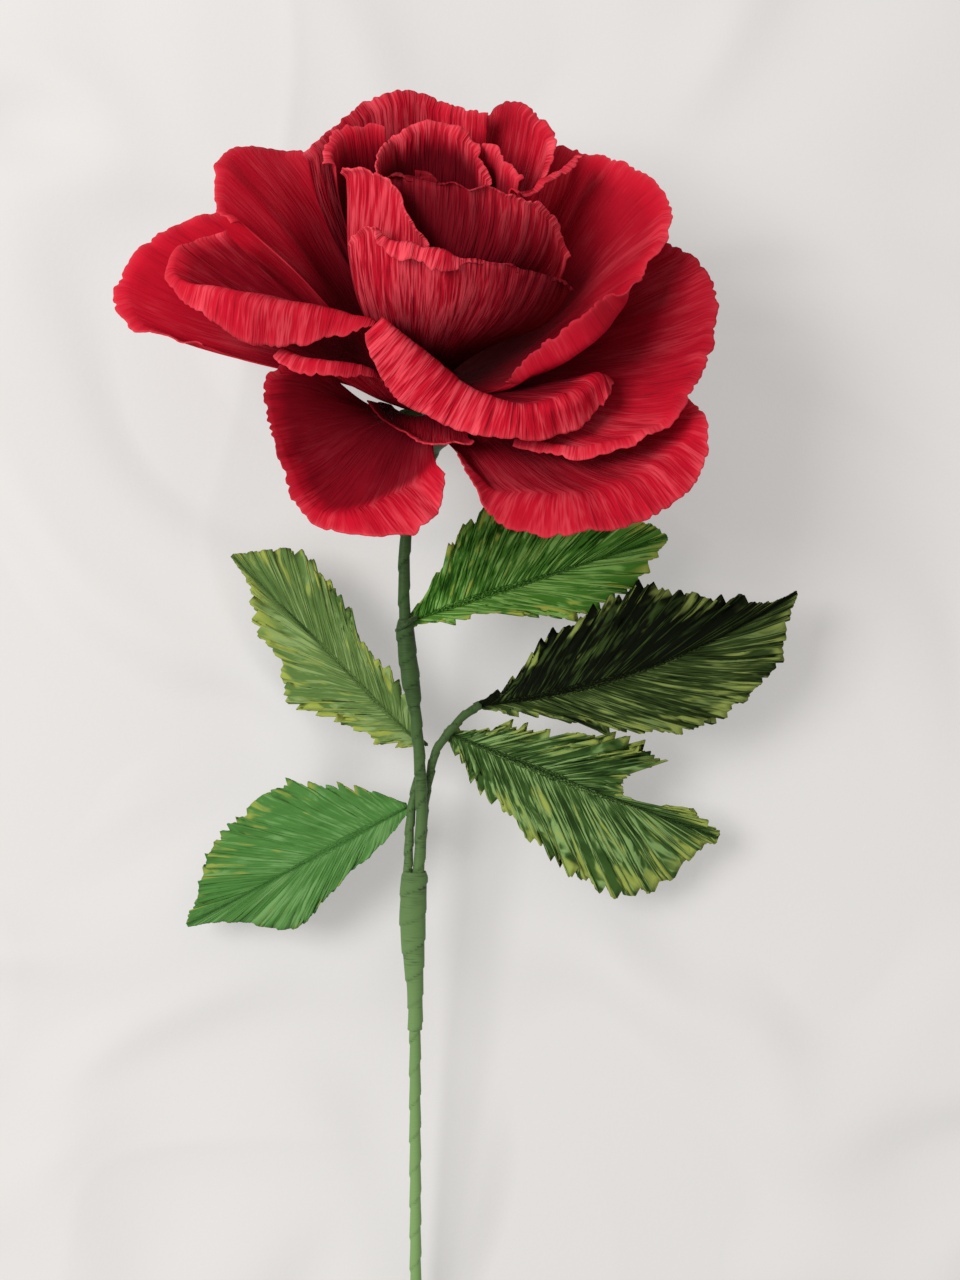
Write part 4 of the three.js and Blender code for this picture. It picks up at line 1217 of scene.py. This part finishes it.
def calyx_section(share):
    """Wide under the petals and no thicker than the stem at its foot."""
    return round_of(np.interp(share, [0, 0.1, 0.3, 0.6, 1], [8.6, 8.5, 6.4, 3.2, 1.85]))


def leaf_wire_line(name):
    """The wire under a leaf's midrib, from where it leaves the stalk."""
    base, tip, bow, arch, _, start, _ = LEAVES[name]
    base, run = np.array(base, float), np.array(tip, float) - np.array(base, float)
    left = unit(np.array([-run[1], run[0], 0.0]))
    share = np.array([0.08, 0.25, 0.5, 0.78])
    hump = 4 * share * (1 - share)
    line = base + run * share[:, None] + left * (bow * hump)[:, None]
    line[:, 2] += arch * hump - UNDER_LEAF
    return [start, *line.tolist()]


class ROSE_OT_stem(bpy.types.Operator):
    """Make the wire, the tape wound round it and the places where it is wound thicker"""

    bl_idname = "rose.stem"
    bl_label = "Stem"

    def execute(self, context):
        settings = context.scene.rose_stem
        tape = tape_finish(settings)
        radius = settings.tape_radius / MM

        def upper_section(share):
            ends = np.clip(np.minimum(share / 0.12, (1 - share) / 0.3), 0, 1)
            return round_of(radius + 0.72 * ends**0.7)

        def wind(name, line, section, node, seed, **more):
            wound_tube(name, line, section, settings, [node], tape, "stem_tape", seed, **more)

        wire = constant(settings.wire_radius / MM)
        wound_tube(
            "florist_wire", whole_stem(), wire, settings, ["stem_wire"], steel_finish(), "wire", 41,
            sides=16, step=0.0, pace=2,
        )
        wind("wound_stem_tape", cut_between(*TAPED), constant(radius), "stem_tape", 43)
        wind("upper_binding_tape", cut_between(*UPPER_BINDING), upper_section, "upper_binding", 45,
             pitch=6, wall=BINDING_WALL)
        wind("leaf_joint_tape", LEAF_JOINT, constant(0.55), "upper_binding", 46, sides=16, pitch=3, step=0.06)
        wind("lower_binding_tape", cut_between(*LOWER_BINDING), lower_section, "lower_binding", 47,
             pitch=7, wall=BINDING_WALL)
        wind("spray_stalk_tape", SPRAY_LINE, constant(1.05), "spray_stalk", 49, pitch=5)
        wind("side_stalk_tape", SIDE_LINE, side_section, "side_stalk", 51, pitch=5)
        for seed, name in enumerate(LEAVES, 53):
            wind("leaf_wire_" + name, leaf_wire_line(name), constant(0.5), "rib_" + name, seed,
                 sides=12, pitch=3, step=0.06)
        return {"FINISHED"}


def sepal_grid(number, azimuth):
    """Points, place on the flat paper and marks of one narrow sepal that bends back from the calyx."""
    u, v = np.linspace(-1, 1, 25)[:, None], np.linspace(0, 1, 61)[None]
    half = SEPAL_HALF * np.maximum(0.1, np.sin(np.pi * (0.2 + 0.78 * v)))
    ribs = wander(u * 4 + 9, v * 3, 70 + number)
    out = SEPAL_OUT + SEPAL_LENGTH * v
    height = -SEPAL_BELOW - SEPAL_BEND * v * v + 0.5 * (ribs - 0.5) - 0.5 * u**2
    across = polar(azimuth + math.pi / 2, 1, 0) * (u * half)[..., None]
    chart = np.stack([u * half + 10 * number, v * SEPAL_LENGTH * np.ones_like(u)], -1)
    marks = {"rib": ribs, "edge": (np.abs(u) ** 4 + v**6) * 0.5}
    return from_flower(polar(azimuth, out, height) + across), chart, marks


class ROSE_OT_calyx(bpy.types.Operator):
    """Make the tapering tape under the petals and the sepals glued to it"""

    bl_idname = "rose.calyx"
    bl_label = "Calyx"

    def execute(self, context):
        settings = context.scene.rose_stem
        tape = tape_finish(settings)
        wound_tube(
            "calyx_tape_cup", cut_between(*CALYX), calyx_section, settings, ["calyx_tape"], tape, "stem_tape",
            61, sides=40, pitch=3.5, pace=0.35, wall=CALYX_WALL,
        )
        paint = LEAF_PAINT["lower_left"]
        values = {title: paint[title.lower()] for title in ("Leaf", "Deep", "Pale", "Yellow")}
        tree, read = shared("Leaf strands", strand_group), {"Rib": "rib", "Edge": "edge"}
        finish = finish_of("Sepal paper", tree, values, read, LEAF_RELIEF, gloss=LEAF_GLOSS)
        thickness = context.scene.rose_leaves.thickness
        for number, azimuth in enumerate(SEPAL_AZIMUTHS, 1):
            points, chart, marks = sepal_grid(number, math.radians(azimuth))
            node = f"sepal_{number}"
            lay("crepe_" + node, points, chart, marks, finish, [node], thickness)
        return {"FINISHED"}


# Stage

# The cloth: squares to a side, and in metres half the width of its finely meshed middle and how much further
# its edge lies
CLOTH_SQUARES, CLOTH_MIDDLE, CLOTH_BEYOND = 420, 0.34, 2.6


def cloth_finish(settings):
    """A thin pale cloth: fine weave, soft wrinkles and daylight through it from behind."""
    material = bpy.data.materials.new("Pale cloth")
    material.use_nodes = True
    tree = material.node_tree
    surface = tree.nodes["Principled BSDF"]
    surface.inputs["Roughness"].default_value = 0.9
    surface.inputs["Specular IOR Level"].default_value = 0.1
    surface.inputs["Base Color"].default_value = (*settings.cloth, 1)
    surface.inputs["Emission Color"].default_value = (1, 0.98, 0.96, 1)
    surface.inputs["Emission Strength"].default_value = settings.glow
    place = tree.nodes.new("ShaderNodeTexCoord")
    weave = tree.nodes.new("ShaderNodeTexNoise")
    weave.inputs["Scale"].default_value = 900
    relief = tree.nodes.new("ShaderNodeBump")
    relief.inputs["Strength"].default_value = 0.25
    relief.inputs["Distance"].default_value = 0.0002
    wrinkle = tree.nodes.new("ShaderNodeTexNoise")
    wrinkle.inputs["Scale"].default_value = 6
    wrinkle.inputs["Detail"].default_value = 2.0
    wrinkle.inputs["Distortion"].default_value = 0.5
    folds = tree.nodes.new("ShaderNodeBump")
    folds.inputs["Strength"].default_value = 1.0
    folds.inputs["Distance"].default_value = settings.wrinkle
    tree.links.new(place.outputs["Object"], weave.inputs["Vector"])
    tree.links.new(place.outputs["Object"], wrinkle.inputs["Vector"])
    tree.links.new(ramp(tree, crests(tree, wrinkle.outputs["Fac"]), 0.6, 1.0), folds.inputs["Height"])
    tree.links.new(weave.outputs["Fac"], relief.inputs["Height"])
    tree.links.new(folds.outputs["Normal"], relief.inputs["Normal"])
    tree.links.new(relief.outputs["Normal"], surface.inputs["Normal"])
    return material


def lay_cloth(scene, settings):
    """A wide cloth with soft creases, laid just under the rose; its squares are finest in the middle."""
    form = bmesh.new()
    bmesh.ops.create_grid(form, x_segments=CLOTH_SQUARES, y_segments=CLOTH_SQUARES, size=1.0)
    cloth = bpy.data.meshes.new("cloth")
    form.to_mesh(cloth)
    form.free()
    flat = np.empty(len(cloth.vertices) * 3, np.float32)
    cloth.vertices.foreach_get("co", flat)
    flat = flat.reshape(-1, 3).astype(float)
    spread = flat[:, :2] * (CLOTH_MIDDLE + CLOTH_BEYOND * np.abs(flat[:, :2]) ** 5)
    x, y = spread[:, 0] / MM, spread[:, 1] / MM
    warp_x, warp_y = 30 * wander(x / 90, y / 90, 1), 30 * wander(x / 90, y / 90, 2)
    soft = wander(x / 130, y / 130, 3)
    fold = np.abs(wander((x + warp_x) / 70, (y + warp_y) / 110, 4) - 0.5) * 2
    sharp = np.exp(-fold * 9) * wander(x / 60, y / 60, 5)
    height = -settings.crease * (1.2 - 0.7 * soft - 0.5 * sharp)
    points = np.column_stack([spread, height]).astype(np.float32)
    cloth.vertices.foreach_set("co", points.ravel())
    cloth.shade_smooth()
    cloth.materials.append(cloth_finish(settings))
    floor = bpy.data.objects.new("cloth", cloth)
    scene.collection.objects.link(floor)


def light_room(scene, settings, centre):
    """One large window on the left, above the rose, and soft light from all round."""
    lamp = bpy.data.lights.new("window", "AREA")
    lamp.size = WINDOW_SIZE
    lamp.energy = settings.key
    window = bpy.data.objects.new("window", lamp)
    window.location = Vector(WINDOW_FROM_CENTRE) + Vector((centre.x, centre.y, 0))
    window.rotation_mode = "QUATERNION"
    aim = Vector((centre.x, centre.y + WINDOW_AIM, 0))
    window.rotation_quaternion = (aim - window.location).to_track_quat("-Z", "Y")
    scene.collection.objects.link(window)

    world = bpy.data.worlds.new("room")
    world.use_nodes = True
    world.node_tree.nodes["Background"].inputs["Color"].default_value = (1, 0.985, 0.97, 1)
    world.node_tree.nodes["Background"].inputs["Strength"].default_value = settings.sky
    scene.world = world


def stand_camera(scene, settings, centre):
    """The camera looks straight down at the rose."""
    camera = bpy.data.cameras.new("camera")
    camera.lens = settings.lens
    camera.clip_start = 0.01
    eye = bpy.data.objects.new("camera", camera)
    eye.location = (centre.x, centre.y, settings.camera_height + centre.z)
    scene.collection.objects.link(eye)
    scene.camera = eye
    scene.view_settings.view_transform = "Standard"


class ROSE_OT_stage(bpy.types.Operator):
    """Lay the pale cloth, and set the light and the camera"""

    bl_idname = "rose.stage"
    bl_label = "Stage"

    def execute(self, context):
        scene = context.scene
        centre = Vector(SHIFT * MM)
        lay_cloth(scene, scene.rose_stage)
        light_room(scene, scene.rose_stage, centre)
        stand_camera(scene, scene.rose_stage, centre)
        return {"FINISHED"}


class ROSE_PT_panel(bpy.types.Panel):
    """Lists the steps that build the rose"""

    bl_idname = "ROSE_PT_panel"
    bl_label = "Paper Rose"
    bl_space_type = "VIEW_3D"
    bl_region_type = "UI"
    bl_category = "Paper Rose"

    def draw(self, context):
        for step in STEPS:
            self.layout.operator(step.bl_idname)
        for owner in SETTINGS:
            box = self.layout.box()
            settings = getattr(context.scene, owner)
            for key in settings.__annotations__:
                box.prop(settings, key)


SETTINGS = {
    "rose_petals": PetalSettings,
    "rose_leaves": LeafSettings,
    "rose_stem": StemSettings,
    "rose_stage": StageSettings,
}
STEPS = (ROSE_OT_stage, ROSE_OT_stem, ROSE_OT_calyx, ROSE_OT_leaves, ROSE_OT_heart, ROSE_OT_petals)


def register():
    for kind in (*SETTINGS.values(), *STEPS, ROSE_PT_panel):
        bpy.utils.register_class(kind)
    for owner, kind in SETTINGS.items():
        setattr(bpy.types.Scene, owner, PointerProperty(type=kind))


def unregister():
    for owner in SETTINGS:
        delattr(bpy.types.Scene, owner)
    for kind in reversed((*SETTINGS.values(), *STEPS, ROSE_PT_panel)):
        bpy.utils.unregister_class(kind)


def main():
    register()
    bpy.ops.rose.stage()
    bpy.ops.rose.stem()
    bpy.ops.rose.calyx()
    bpy.ops.rose.leaves()
    bpy.ops.rose.heart()
    bpy.ops.rose.petals()


if __name__ == "__main__":
    main()
